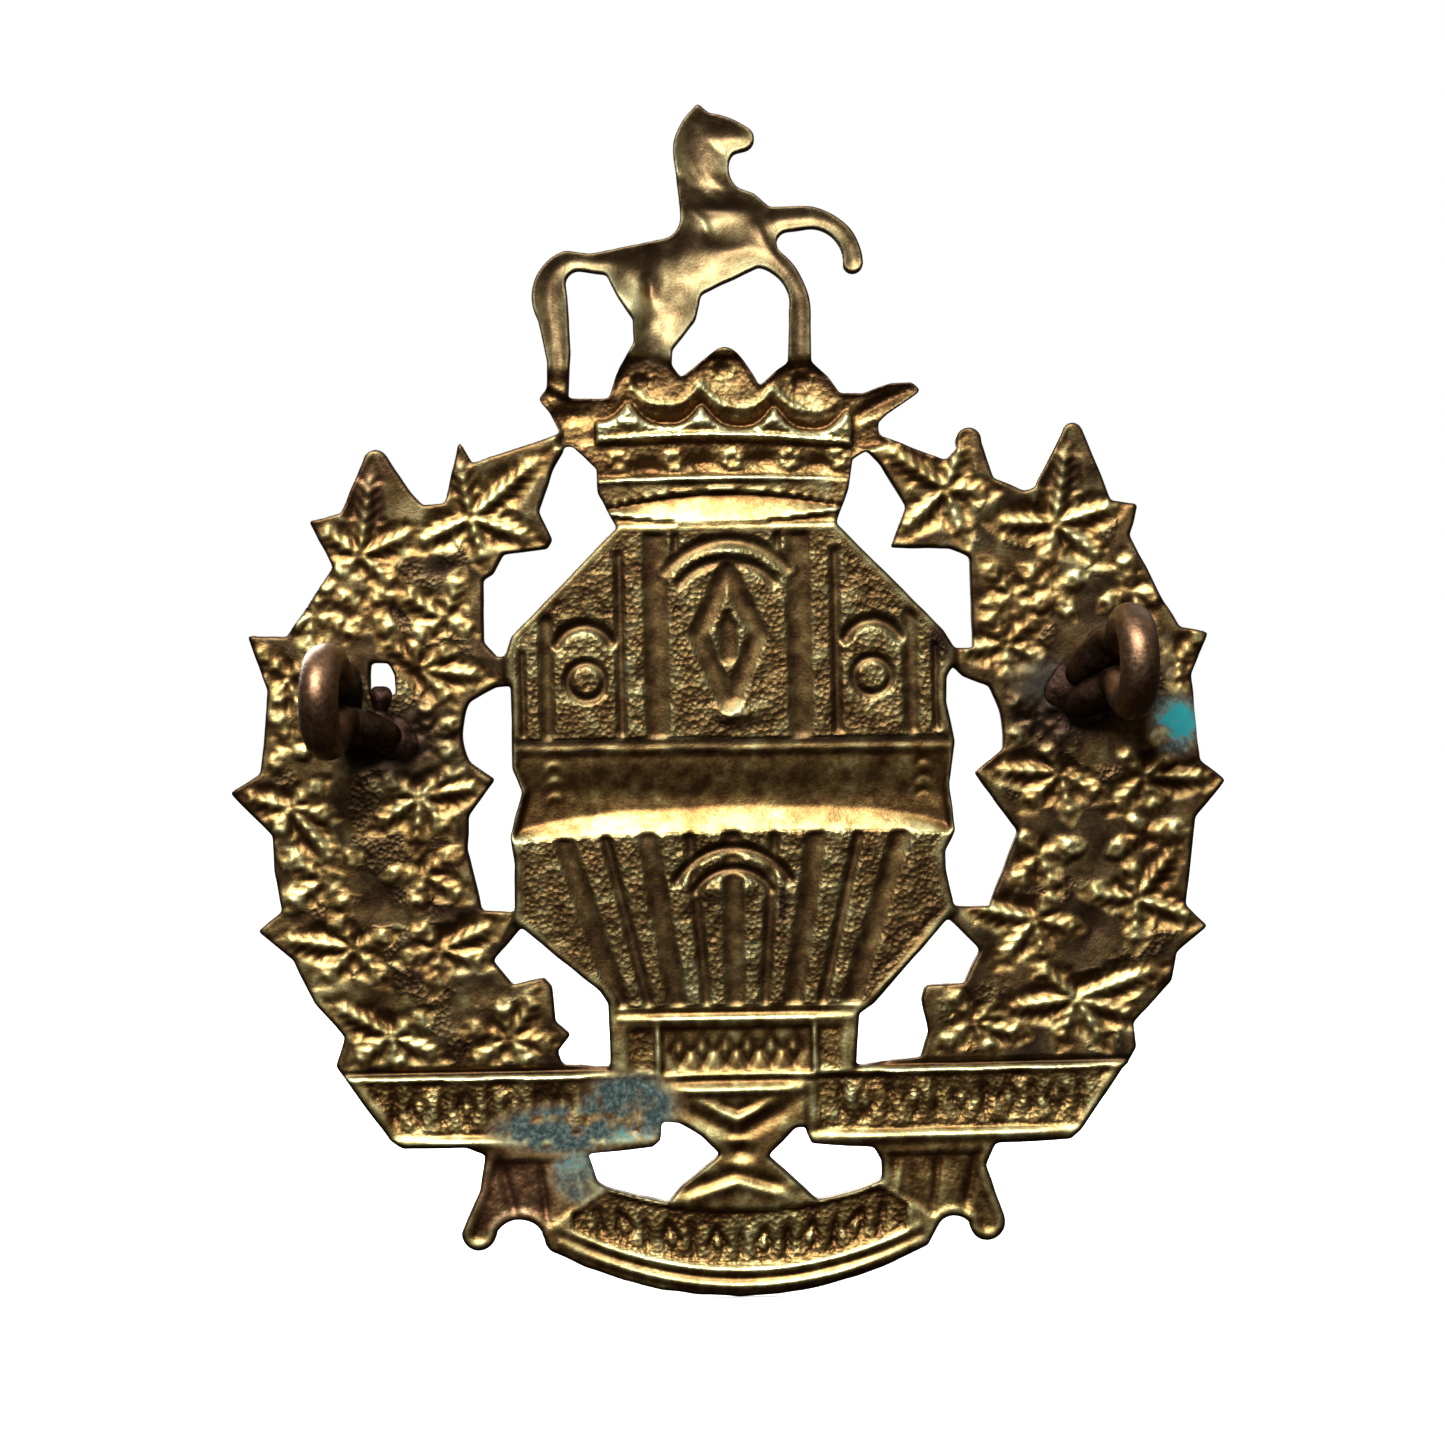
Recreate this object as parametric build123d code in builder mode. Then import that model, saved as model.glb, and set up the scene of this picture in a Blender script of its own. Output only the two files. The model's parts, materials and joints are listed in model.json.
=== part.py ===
"""Die-struck brass cap badge: a fretted plate with two copper wire lugs brazed to its back.

Millimetres, +Z up. The decorated face looks along -Y and the lugs stand out along +Y.
The origin is the middle of the plate's back face, on the flat ground of its tablet.
Flat shapes are drawn as they look from behind, so their first number runs towards -X.
"""

import os
from collections import namedtuple
from math import asin, cos, degrees, radians, sin

from build123d import *

os.makedirs("parts", exist_ok=True)

SHEET = 0.9  # thickness of the brass sheet
WALL = 0.3  # how far a raised form on the front stands around its hollow on the back

BELT_DEPTH = 0.9
RIM_DEPTH = 0.8
BODY_DEPTH = 0.7
LEAF_DEPTH = 0.5
SCROLL_DEPTH = 0.45
GEM_DEPTH = 0.35
BAR_DEPTH = 0.3
LEAF_HOLLOW = 0.7  # size of a leaf's hollow beside its raised form

WIRE = 1.5  # lug wire diameter
EYE_BEND = 1.5  # radius of the eye, to the wire's middle
EYE_BORE = 0.88  # radius of the round hole worn and reamed through the eye
EYE_HEIGHT = 3.1  # plate to the middle of the eye, along the lug
LEG_SPREAD = 0.8  # each leg's middle from the lug's centre line
LEAN = 6.0  # degrees, away from the badge's middle
LUG_OUT = 14.9  # foot of a lug from the badge's middle
LUG_UP = {"left": -0.5, "right": 0.4}
SIDES = [("left", 1), ("right", -1)]  # each lug as it is named from behind, and its side of X
BEAD_TOP = 0.75  # size of a mound of braze at its top beside its foot
SEAT_DEPTH = 0.15  # the back is this much lower where a lug is brazed on
SEAT_MARGIN = 0.2  # how far that seat shows around the braze

# Braze at each lug: a mound around its legs and a lower puddle towards the badge's middle.
Mound = namedtuple("Mound", "inward down across tall height")
MOUNDS = [Mound(0, 0, 1.05, 2.1, 0.7), Mound(1.2, 1.5, 1.1, 1.0, 0.35)]

Arc = namedtuple("Arc", "via end")
BACK = Plane(origin=(0, 0, 0), x_dir=(-1, 0, 0), z_dir=(0, 1, 0))
FRONT = Plane(origin=(0, -SHEET, 0), x_dir=(-1, 0, 0), z_dir=(0, 1, 0))
SEAT = BACK.offset(-SEAT_DEPTH)

# The horse: ear, muzzle, raised foreleg, standing legs, tail and back, clockwise from the ear.
HORSE = [
    (-0.75, 22.25), (-0.3, 21.85), Arc((0.7, 21.55), (1.2, 21.25)), Arc((1.4, 20.85), (1.1, 20.42)),
    (0.6, 20.28), Arc((0.4, 19.6), (0.75, 18.95)), (1.35, 18.72), (1.95, 18.2), (3.2, 18.2),
    Arc((4.85, 17.5), (5.5, 15.95)), Arc((5.15, 15.58), (4.7, 15.9)), Arc((4.3, 17.05), (3.4, 17.35)),
    (2.55, 17.25), Arc((2.2, 16.9), (2.3, 16.5)), Arc((3.2, 15.3), (3.45, 14.0)), (3.4, 11.5),
    (2.5, 11.5), (2.6, 14.2), Arc((2.3, 15.4), (1.45, 15.92)), (-0.75, 14.9), (-1.0, 13.9),
    (-1.9, 12.8), (-2.0, 11.3), (-4.2, 11.3), (-4.0, 12.1), (-3.4, 13.1), (-3.4, 14.0),
    (-4.0, 14.9), (-4.4, 15.75), (-5.4, 15.9), Arc((-5.85, 15.75), (-5.95, 15.3)), (-5.82, 12.8),
    (-6.0, 10.9), (-6.8, 11.0), (-6.75, 12.4), (-7.05, 14.0), Arc((-6.85, 16.1), (-5.95, 16.68)),
    (-5.0, 16.52), (-2.2, 17.05), Arc((-1.65, 17.4), (-1.5, 18.0)), (-1.72, 20.2),
    Arc((-1.6, 21.1), (-1.05, 21.9)),
]
HORSE_BODY = [
    (-1.1, 21.2), (0.6, 21.1), (0.1, 20.2), (0.0, 19.4), (1.3, 18.2), (1.7, 17.0), (0.9, 16.3),
    (-1.4, 15.4), (-2.2, 13.4), (-2.9, 13.6), (-3.7, 15.7), (-1.7, 16.5), (-1.1, 17.8), (-1.3, 20.2),
]
# The coronet from its left ray over three domes to its right ray, and back along its lower rim.
CORONET = [
    (-7.1, 11.0), (-6.8, 11.4), (-6.0, 11.0), (-4.4, 11.0), (-4.1, 11.9), (-3.4, 12.9), (-2.0, 12.3),
    (-1.6, 11.75), Arc((-1.0, 12.2), (-0.3, 12.72)), Arc((0.1, 12.87), (0.5, 12.7)),
    Arc((1.0, 12.1), (1.42, 11.35)), (2.1, 11.95), (2.5, 12.2), (3.4, 12.25), (4.05, 11.7),
    (4.5, 11.0), (5.4, 11.0), (6.5, 11.37), (7.3, 11.37), (7.65, 11.05), (6.3, 10.15), (5.98, 9.85),
    (5.98, 9.5), (6.25, 9.0), (5.45, 8.8), (4.93, 8.45), (4.75, 7.3), (4.3, 6.1), (4.2, 5.6),
    (-4.0, 5.6), (-4.25, 6.1), (-4.9, 7.3), (-4.95, 8.3), (-5.85, 9.2), (-6.4, 9.2), (-6.3, 9.7),
    (-6.7, 10.5),
]
CORONET_RIM = [(-4.4, 7.15), Arc((0.0, 7.5), (4.4, 7.0)), (4.15, 6.35), Arc((0.0, 6.3), (-4.1, 6.5))]
DOMES = [(-3.3, 10.9), (-0.1, 11.1), (3.0, 10.9)]
DOME_SIZE = (1.6, 1.2)
GEMS = [(-3.0, 8.45), (-1.05, 8.5), (1.45, 8.4), (3.6, 8.25)]
GEM_SIZE = (1.25, 0.8)
# The eight-sided tablet, its name panel below and the tapering cloth under that.
TABLET = [
    (-4.1, 6.1), (4.25, 6.0), (8.3, 1.8), (8.7, 1.1), (8.7, 0.5), (8.4, 0.0), (8.35, -1.0),
    (8.65, -2.5), (8.4, -4.1), (8.6, -5.9), (8.2, -6.7), (8.2, -7.4), (8.5, -9.0), (5.35, -12.5),
    (4.75, -12.9), (4.58, -15.1), (2.7, -15.4), (2.65, -17.2), (2.2, -17.25), (1.15, -18.3),
    (3.4, -20.0), (-3.1, -19.95), (-2.2, -19.35), (-0.72, -18.2), (-1.4, -17.5), (-2.3, -16.95),
    (-3.1, -16.9), (-3.1, -15.2), (-4.88, -14.9), (-4.9, -12.3), (-5.2, -11.85), (-8.45, -9.1),
    (-8.4, -6.9), (-8.55, -5.8), (-8.05, -4.1), (-8.4, -3.2), (-8.4, 0.0), (-8.6, 0.3), (-8.6, 1.1),
    (-8.35, 1.9),
]
BELT = [(-8.0, -2.4), (8.1, -2.3), (8.0, -5.75), Arc((0.0, -5.0), (-8.0, -5.55))]
NAME_PANEL = [(-4.1, -13.2), (3.9, -13.2), (3.9, -15.2), (-4.1, -15.2)]
CLOTH = [(-2.0, -16.1), (2.0, -16.1), (0.3, -17.4), (-0.3, -17.4)]
UPPER_BARS = [-6.0, -3.4, 0.0, 2.6, 5.2]
LOWER_BARS = [-5.8, -3.6, 0.0, 2.4, 5.0]
BAR_WIDTH = 0.8
UPPER_BAR_Z = (0.9, 1.9)  # half height and middle
LOWER_BAR_Z = (1.6, -8.3)
# The two scrolls, the ribbon tails under them and the curved scroll at the foot.
LEFT_SCROLL = [
    (-15.42, -14.5), (-15.0, -13.3), (-7.0, -14.3), (-4.7, -14.75), (-2.6, -15.4), (-2.95, -17.1),
    (-3.0, -17.6), (-3.3, -17.87), (-5.8, -18.1), (-5.45, -19.2), (-5.1, -19.4), (-5.1, -20.5),
    (-7.5, -21.6), Arc((-8.55, -20.55), (-9.35, -21.0)), Arc((-10.0, -21.72), (-10.75, -21.05)),
    (-10.0, -19.4), (-9.75, -18.05), (-10.5, -17.75), (-12.9, -17.75), (-13.4, -17.4), (-14.9, -15.3),
]
RIGHT_SCROLL = [
    (15.4, -14.4), (15.2, -13.3), (7.0, -14.3), (4.5, -14.9), (2.6, -15.3), (2.6, -17.4),
    (2.8, -17.87), (5.2, -18.05), (5.5, -18.6), (5.5, -19.3), (5.0, -19.5), (5.1, -20.6),
    (7.5, -21.4), Arc((8.1, -20.75), (8.8, -21.0)), Arc((9.7, -21.7), (10.2, -20.9)),
    (9.5, -18.8), (9.9, -18.0), (12.8, -17.9), (13.3, -17.4), (15.0, -14.95),
]
FOOT_SCROLL = [
    (-7.65, -21.1), (-7.35, -21.75), Arc((0.2, -23.68), (7.2, -21.85)), (7.75, -20.9),
    (5.4, -19.4), Arc((0.0, -20.25), (-5.2, -19.35)),
]
LEFT_BAND = [(-14.6, -15.1), (-3.3, -15.2), (-3.3, -17.4), (-13.3, -17.2)]
RIGHT_BAND = [(3.0, -15.3), (14.5, -15.1), (13.1, -17.3), (3.0, -17.4)]
FOOT_BAND = [
    (-6.6, -21.2), Arc((0.1, -22.75), (6.7, -21.3)), (5.6, -19.9), Arc((0.1, -20.7), (-5.6, -19.8)),
]
# Each side's wreath of maple leaves, clockwise from its upper inner tip.
LEFT_WREATH = [
    (-6.2, 9.7), (-6.2, 9.0), (-6.6, 8.3), (-7.2, 6.7), (-6.7, 5.6), (-6.9, 5.25), (-8.6, 5.05),
    (-9.0, 4.3), (-9.4, 4.1), (-9.4, 1.7), (-8.9, 1.1), (-8.3, 1.2), (-8.3, 0.0), (-9.0, -0.05),
    (-10.0, -0.6), Arc((-10.3, -1.8), (-10.05, -2.9)), (-9.1, -3.6), (-10.15, -5.0), (-10.2, -6.3),
    (-9.7, -8.6), (-8.4, -8.7), (-8.1, -9.25), (-9.3, -10.6), (-8.6, -11.5), (-7.4, -11.25),
    (-7.05, -11.6), (-6.95, -13.0), (-6.4, -13.5), (-6.9, -14.15), (-6.7, -14.7), (-5.0, -14.7),
    (-5.0, -15.1), (-15.0, -15.1), (-15.42, -14.5), (-15.05, -13.4), (-16.2, -12.1), (-17.0, -10.4),
    (-18.35, -9.25), (-17.4, -8.5), (-17.65, -7.0), (-17.7, -5.6), (-19.3, -3.9), (-18.1, -3.2),
    (-17.75, 0.0), (-18.5, 2.15), (-17.0, 2.05), (-15.15, 4.7), (-16.05, 6.5), (-14.8, 6.75),
    (-13.9, 8.8), Arc((-13.4, 9.2), (-13.0, 8.9)), (-12.1, 7.5), (-11.6, 7.0), (-10.8, 7.1),
    (-10.2, 9.45), (-9.7, 8.6),
]
RIGHT_WREATH = [
    (5.9, 9.4), (8.5, 8.35), (9.0, 8.8), Arc((9.45, 9.57), (9.9, 9.0)), (10.35, 7.6), (11.5, 7.1),
    (11.9, 7.2), (13.0, 9.3), Arc((13.4, 9.68), (13.8, 9.4)), (14.85, 6.65), (15.9, 6.5),
    (15.55, 5.3), (16.7, 2.9), (17.4, 1.75), (18.5, 1.5), (17.8, -0.1), (18.05, -3.4), (19.05, -4.2),
    (17.85, -5.6), (17.4, -9.0), (18.25, -9.8), (17.0, -10.8), (16.8, -11.9), (15.3, -13.5),
    (15.4, -14.4), (15.0, -15.1), (4.5, -15.1), (4.6, -14.9), (7.0, -14.9), (7.4, -13.7),
    (7.15, -12.4), (7.3, -11.85), (8.8, -11.8), (9.45, -10.55), (8.2, -9.25), (8.4, -8.85),
    (9.85, -8.85), (11.0, -6.0), (9.35, -3.7), (10.5, -2.8), Arc((10.45, -1.6), (10.0, -0.4)),
    (9.0, 0.0), (8.6, 0.4), (8.4, 0.9), (8.7, 1.1), (9.4, 1.1), (9.38, 4.6), (8.6, 4.95),
    (6.3, 5.0), (6.95, 6.6), (6.0, 8.2), (5.5, 8.8),
]
LUG_HOLE = [(-13.8, 0.9), (-12.9, 0.7), (-12.85, -0.2), (-13.8, -0.25)]

# One side's leaves, each from its middle to its tips in order. The other side's are the same.
Leaf = namedtuple("Leaf", "middle tips")
LEAVES = [
    Leaf((9.9, 6.3), [(10.0, 8.7), (6.8, 8.4), (7.4, 5.6), (9.5, 4.8), (12.0, 6.0)]),
    Leaf((13.5, 6.0), [(13.4, 8.8), (12.2, 5.6), (13.0, 3.6), (15.2, 4.4), (15.5, 6.3)]),
    Leaf((11.3, 1.6), [(11.5, 3.6), (9.7, 3.0), (9.4, 0.6), (11.0, -0.4), (12.9, 1.6)]),
    Leaf((16.9, -4.3), [(16.4, -2.9), (14.6, -3.9), (15.1, -5.6), (17.2, -5.6), (18.7, -4.1)]),
    Leaf((12.0, -4.4), [(11.3, -2.9), (9.8, -3.8), (10.9, -5.5), (13.1, -5.5), (13.9, -4.1)]),
    Leaf((15.5, -9.8), [(15.6, -7.5), (13.6, -9.2), (14.3, -11.2), (16.2, -11.0), (17.9, -9.6)]),
    Leaf((11.4, -9.4), [(11.6, -7.4), (9.6, -9.2), (10.2, -11.0), (12.0, -11.2), (13.2, -9.2)]),
    Leaf((9.2, -13.2), [(8.9, -12.1), (7.6, -12.4), (7.6, -13.9), (9.2, -14.5), (11.2, -13.9)]),
    Leaf((13.6, -13.0), [(14.0, -11.5), (12.1, -12.1), (12.0, -14.0), (13.5, -14.6), (14.9, -13.4)]),
]
NOTCH = 0.5  # how far out a leaf's notches lie, beside its tips


def run(stretches):
    """The edges of a closed shape. A point is a straight run to it and an Arc is a bend."""
    with BuildLine() as line:
        here = stretches[0]
        for stretch in stretches[1:] + stretches[:1]:
            if isinstance(stretch, Arc):
                ThreePointArc(here, stretch.via, stretch.end)
                here = stretch.end
            else:
                Line(here, stretch)
                here = stretch
    return line.edges()


def leaf_outline(leaf, side, size):
    """The leaf's tips with a notch between each two, on one side of the badge."""
    across, up = leaf.middle
    corners = []
    for tip, following in zip(leaf.tips, leaf.tips[1:] + leaf.tips[:1]):
        between = ((tip[0] + following[0]) / 2, (tip[1] + following[1]) / 2)
        for corner, reach in ((tip, size), (between, size * NOTCH)):
            out = (corner[0] - across) * reach
            rise = (corner[1] - up) * reach
            corners.append((side * (across + out), up + rise))
    return corners


def box(middle, size):
    """The corners of an upright rectangle."""
    across, up = middle
    half, rise = size[0] / 2, size[1] / 2
    return [
        (across - half, up - rise), (across + half, up - rise),
        (across + half, up + rise), (across - half, up + rise),
    ]


FIELDS = [HORSE, CORONET, TABLET, LEFT_SCROLL, RIGHT_SCROLL, FOOT_SCROLL, LEFT_WREATH, RIGHT_WREATH]
BARS = [box((bar, UPPER_BAR_Z[1]), (BAR_WIDTH, 2 * UPPER_BAR_Z[0])) for bar in UPPER_BARS]
BARS += [box((bar, LOWER_BAR_Z[1]), (BAR_WIDTH, 2 * LOWER_BAR_Z[0])) for bar in LOWER_BARS]
# The forms that stand up on the front and are hollow behind, by how deep they are struck.
STRUCK = {
    BELT_DEPTH: [BELT],
    RIM_DEPTH: [CORONET_RIM],
    BODY_DEPTH: [HORSE_BODY],
    LEAF_DEPTH: [leaf_outline(leaf, side, LEAF_HOLLOW) for leaf in LEAVES for side in (-1, 1)],
    SCROLL_DEPTH: [LEFT_BAND, RIGHT_BAND, FOOT_BAND],
    GEM_DEPTH: [box(gem, GEM_SIZE) for gem in GEMS] + [box(dome, DOME_SIZE) for dome in DOMES],
    BAR_DEPTH: [NAME_PANEL, CLOTH] + BARS,
}



def mound_place(mound, name, side):
    """A mound's middle as seen from behind."""
    return -side * (LUG_OUT - mound.inward), LUG_UP[name] - mound.down


with BuildSketch(Plane.XY) as silhouette:
    for field in FIELDS:
        make_face(run(field))
    make_face(run(LUG_HOLE), mode=Mode.SUBTRACT)

# The struck plate: one sheet with the same design raised on its front and hollow behind.
with BuildPart() as badge_plate:
    with BuildSketch(BACK):
        add(silhouette.sketch_local)
    extrude(amount=-SHEET)
    for depth, outlines in STRUCK.items():
        with BuildSketch(FRONT):
            for outline in outlines:
                make_face(run(outline))
            offset(amount=WALL, kind=Kind.INTERSECTION)
            add(silhouette.sketch_local, mode=Mode.INTERSECT)
        extrude(amount=-depth)
    for depth, outlines in STRUCK.items():
        with BuildSketch(BACK):
            for outline in outlines:
                make_face(run(outline))
        extrude(amount=-depth, mode=Mode.SUBTRACT)
    with BuildSketch(BACK):
        for name, side in SIDES:
            for mound in MOUNDS:
                with Locations(mound_place(mound, name, side)):
                    Ellipse(mound.across + SEAT_MARGIN, mound.tall + SEAT_MARGIN)
    extrude(amount=-SEAT_DEPTH, mode=Mode.SUBTRACT)
badge_plate.part.label = "badge_plate"
export_step(badge_plate.part, "parts/badge_plate.step")


def lug_frame(side, up):
    """The foot of a lug, with x along the hole towards the badge's middle and z along the lug."""
    lean = radians(LEAN)
    return Plane(
        origin=(side * LUG_OUT, 0, up),
        x_dir=(-side * cos(lean), sin(lean), 0),
        z_dir=(side * sin(lean), cos(lean), 0),
    )


def bent_wire(foot):
    """A wire bent into a round eye on two straight legs, cut off flush with its seat."""
    opening = degrees(asin(LEG_SPREAD / EYE_BEND))
    leg = EYE_HEIGHT - EYE_BEND * cos(radians(opening))
    hole = Axis(foot.from_local_coords((0, 0, EYE_HEIGHT)), foot.x_dir)
    with BuildPart() as wire:
        with BuildSketch(foot.offset(leg)):
            with Locations((0, LEG_SPREAD), (0, -LEG_SPREAD)):
                Circle(WIRE / 2)
        extrude(amount=-leg - WIRE)
        start = (-foot.z_dir).rotate(Axis((0, 0, 0), foot.x_dir), opening)
        around = foot.x_dir.cross(start)
        with BuildSketch(Plane(hole.position + start * EYE_BEND, x_dir=foot.x_dir, z_dir=around)):
            Circle(WIRE / 2)
        revolve(axis=hole, revolution_arc=360 - 2 * opening)
        for spread in (LEG_SPREAD, -LEG_SPREAD):
            with Locations(foot.from_local_coords((0, spread, leg))):
                Sphere(WIRE / 2)
        with BuildSketch(Plane(hole.position, z_dir=hole.direction)):
            Circle(EYE_BORE)
        extrude(amount=WIRE, both=True, mode=Mode.SUBTRACT)
        split(bisect_by=SEAT, keep=Keep.TOP)
    return wire.part


def braze(name, side, lug):
    """Mounds of braze around a lug's legs, each from the seat up."""
    with BuildPart() as bead:
        for mound in MOUNDS:
            for plane, share in ((SEAT, 1), (BACK.offset(mound.height), BEAD_TOP)):
                with BuildSketch(plane):
                    with Locations(mound_place(mound, name, side)):
                        Ellipse(mound.across * share, mound.tall * share)
            loft()
        add(lug, mode=Mode.SUBTRACT)
    return bead.part


for name, side in SIDES:
    lug = bent_wire(lug_frame(side, LUG_UP[name]))
    lug.label = "lug_" + name
    export_step(lug, "parts/lug_" + name + ".step")
    bead = braze(name, side, lug)
    bead.label = "braze_" + name
    export_step(bead, "parts/braze_" + name + ".step")
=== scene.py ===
"""Cap badge seen from behind: a struck brass sheet with two copper wire lugs brazed to it.

Flat shapes are drawn in millimetres as they look from behind: across, towards -X, and up.
Depth is how far the sheet is struck away from the viewer, towards the decorated front.
"""

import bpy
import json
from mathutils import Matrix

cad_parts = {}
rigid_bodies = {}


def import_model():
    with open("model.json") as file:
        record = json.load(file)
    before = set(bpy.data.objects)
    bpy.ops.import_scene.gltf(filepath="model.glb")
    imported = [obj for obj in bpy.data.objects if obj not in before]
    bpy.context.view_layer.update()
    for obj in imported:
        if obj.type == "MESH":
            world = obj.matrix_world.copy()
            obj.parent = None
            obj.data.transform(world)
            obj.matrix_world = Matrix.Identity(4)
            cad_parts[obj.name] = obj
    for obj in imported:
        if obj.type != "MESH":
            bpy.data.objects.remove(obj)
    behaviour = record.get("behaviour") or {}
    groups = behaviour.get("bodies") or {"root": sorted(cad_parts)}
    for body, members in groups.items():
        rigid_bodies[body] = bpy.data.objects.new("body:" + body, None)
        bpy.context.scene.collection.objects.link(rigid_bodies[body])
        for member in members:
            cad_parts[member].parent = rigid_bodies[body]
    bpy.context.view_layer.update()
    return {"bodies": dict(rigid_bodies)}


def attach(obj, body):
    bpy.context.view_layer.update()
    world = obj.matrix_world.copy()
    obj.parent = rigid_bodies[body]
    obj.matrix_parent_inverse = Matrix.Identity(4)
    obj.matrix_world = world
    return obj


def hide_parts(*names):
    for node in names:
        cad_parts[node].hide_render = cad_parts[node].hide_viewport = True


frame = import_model()
body = list(frame["bodies"])[0]  # the badge has no moving parts, so everything rides on one body

import json
import math
from collections import namedtuple

import bpy
import numpy as np
from mathutils import Matrix, Vector

Arc = namedtuple("Arc", "via end")  # a round stretch of an outline, from the point before it
Foot = namedtuple("Foot", "inward down")  # how far a foot of the wire runs along the plate

MM = 0.001
SHEET = 0.9  # thickness of the brass
PITCH = 0.09  # distance between the points that the sheet's shape is worked out at
FAR = 1.5  # how far from an outline distances are worked out
ARC_POINTS = 10  # straight runs that stand for a round stretch
EDGE = 0.1  # rounding of the sheet's cut edges
SOFTEN = 0.07  # how far the punch rounds a corner of the outline
STIPPLE = 0.21  # distance between the dots of the matted ground
STIPPLE_DEPTH = 0.026
LINE_STRENGTH = 0.5  # how much of a drawn line's depth reaches the back
DENT_STRENGTH = 0.8  # the same for a round hollow
LEAF_BOWL = 0.12  # how much deeper a leaf is in its middle than at its edge
RIB_HALF = 0.27  # the broad rib in each lobe of a leaf
RIB_HIGH = 0.3
VEIN_HIGH = 0.03  # the fine veins beside it
VEIN_APART = 0.48

WIRE = 0.75  # radius of the lug wire
WIRE_SIDES = 40
WIRE_RINGS = 170
WIRE_SMOOTHING = 14  # rounds of averaging that soften its bends
EYE_BEND = 1.5  # radius of the eye, along the middle of the wire
EYE_HEIGHT = 3.1
EYE_POINTS = 40
LEG_SPREAD = 0.8  # half the distance between the two legs where the eye begins
FOOT_SPREAD = 0.9  # the same near the plate
LEAN = math.radians(9)
LUG_OUT = 14.7  # the lugs' places, out from the badge's middle and up
LUG_UP = {"left": -0.5, "right": 0.4}
# Each lug's upper and lower foot. The left one's upper leg goes straight down to the plate.
FEET = {"left": (Foot(0, 0), Foot(2.0, 0.5)), "right": (Foot(1.6, 1.6), Foot(1.8, 0.9))}
BRAZE_PITCH = 0.07  # how fine the braze's skin is

VIEW_WIDTH = 55.5  # what the camera sees across the badge's plane
CAMERA_AWAY = 180
CAMERA_SENSOR = 36
CAMERA_AIM = (-0.28, -1.59)
CAMERA_ROLL = math.radians(1.2)
FLOOR_UP = -23.75  # just under the badge
FLOOR_HALF = 2000

# Outlines as seen from behind: the horse with its raised foreleg, the coronet, the eight-sided
# tablet with its name panel and cloth, the scrolls and the two halves of the wreath.
HORSE = [
    (-0.75, 22.25), (-0.3, 21.85), Arc((0.7, 21.55), (1.2, 21.25)), Arc((1.4, 20.85), (1.1, 20.42)),
    (0.6, 20.28), Arc((0.4, 19.6), (0.75, 18.95)), (1.35, 18.72), (1.95, 18.2), (3.2, 18.2),
    Arc((4.85, 17.5), (5.5, 15.95)), Arc((5.15, 15.58), (4.7, 15.9)), Arc((4.3, 17.05), (3.4, 17.35)),
    (2.55, 17.25), Arc((2.2, 16.9), (2.3, 16.5)), Arc((3.2, 15.3), (3.45, 14.0)), (3.4, 11.5),
    (2.5, 11.5), (2.6, 14.2), Arc((2.3, 15.4), (1.45, 15.92)), (-0.75, 14.9), (-1.0, 13.9),
    (-1.9, 12.8), (-2.0, 11.3), (-4.2, 11.3), (-4.0, 12.1), (-3.4, 13.1), (-3.4, 14.0),
    (-4.0, 14.9), (-4.4, 15.75), (-5.4, 15.9), Arc((-5.85, 15.75), (-5.95, 15.3)), (-5.82, 12.8),
    (-6.0, 10.9), (-6.8, 11.0), (-6.75, 12.4), (-7.05, 14.0), Arc((-6.85, 16.1), (-5.95, 16.68)),
    (-5.0, 16.52), (-2.2, 17.05), Arc((-1.65, 17.4), (-1.5, 18.0)), (-1.72, 20.2),
    Arc((-1.6, 21.1), (-1.05, 21.9)),
]
CORONET = [
    (-7.1, 11.0), (-6.8, 11.4), (-6.0, 11.0), (-4.4, 11.0), (-4.1, 11.9), (-3.4, 12.9), (-2.0, 12.3),
    (-1.6, 11.75), Arc((-1.0, 12.2), (-0.3, 12.72)), Arc((0.1, 12.87), (0.5, 12.7)),
    Arc((1.0, 12.1), (1.42, 11.35)), (2.1, 11.95), (2.5, 12.2), (3.4, 12.25), (4.05, 11.7),
    (4.5, 11.0), (5.4, 11.0), (6.5, 11.37), (7.3, 11.37), (7.65, 11.05), (6.3, 10.15), (5.98, 9.85),
    (5.98, 9.5), (6.25, 9.0), (5.45, 8.8), (4.93, 8.45), (4.75, 7.3), (4.3, 6.1), (4.2, 5.6),
    (-4.0, 5.6), (-4.25, 6.1), (-4.9, 7.3), (-4.95, 8.3), (-5.85, 9.2), (-6.4, 9.2), (-6.3, 9.7),
    (-6.7, 10.5),
]
TABLET = [
    (-4.1, 6.1), (4.25, 6.0), (8.3, 1.8), (8.7, 1.1), (8.7, 0.5), (8.4, 0.0), (8.35, -1.0),
    (8.65, -2.5), (8.4, -4.1), (8.6, -5.9), (8.2, -6.7), (8.2, -7.4), (8.5, -9.0), (5.35, -12.5),
    (4.75, -12.9), (4.58, -15.1), (2.7, -15.4), (2.65, -17.2), (2.2, -17.25), (1.15, -18.3),
    (3.4, -20.45), (-3.1, -20.4), (-2.2, -19.35), (-0.72, -18.2), (-1.4, -17.5), (-2.3, -16.95),
    (-3.1, -16.9), (-3.1, -15.2), (-4.88, -14.9), (-4.9, -12.3), (-5.2, -11.85), (-8.45, -9.1),
    (-8.4, -6.9), (-8.55, -5.8), (-8.05, -4.1), (-8.4, -3.2), (-8.4, 0.0), (-8.6, 0.3), (-8.6, 1.1),
    (-8.35, 1.9),
]
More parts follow.
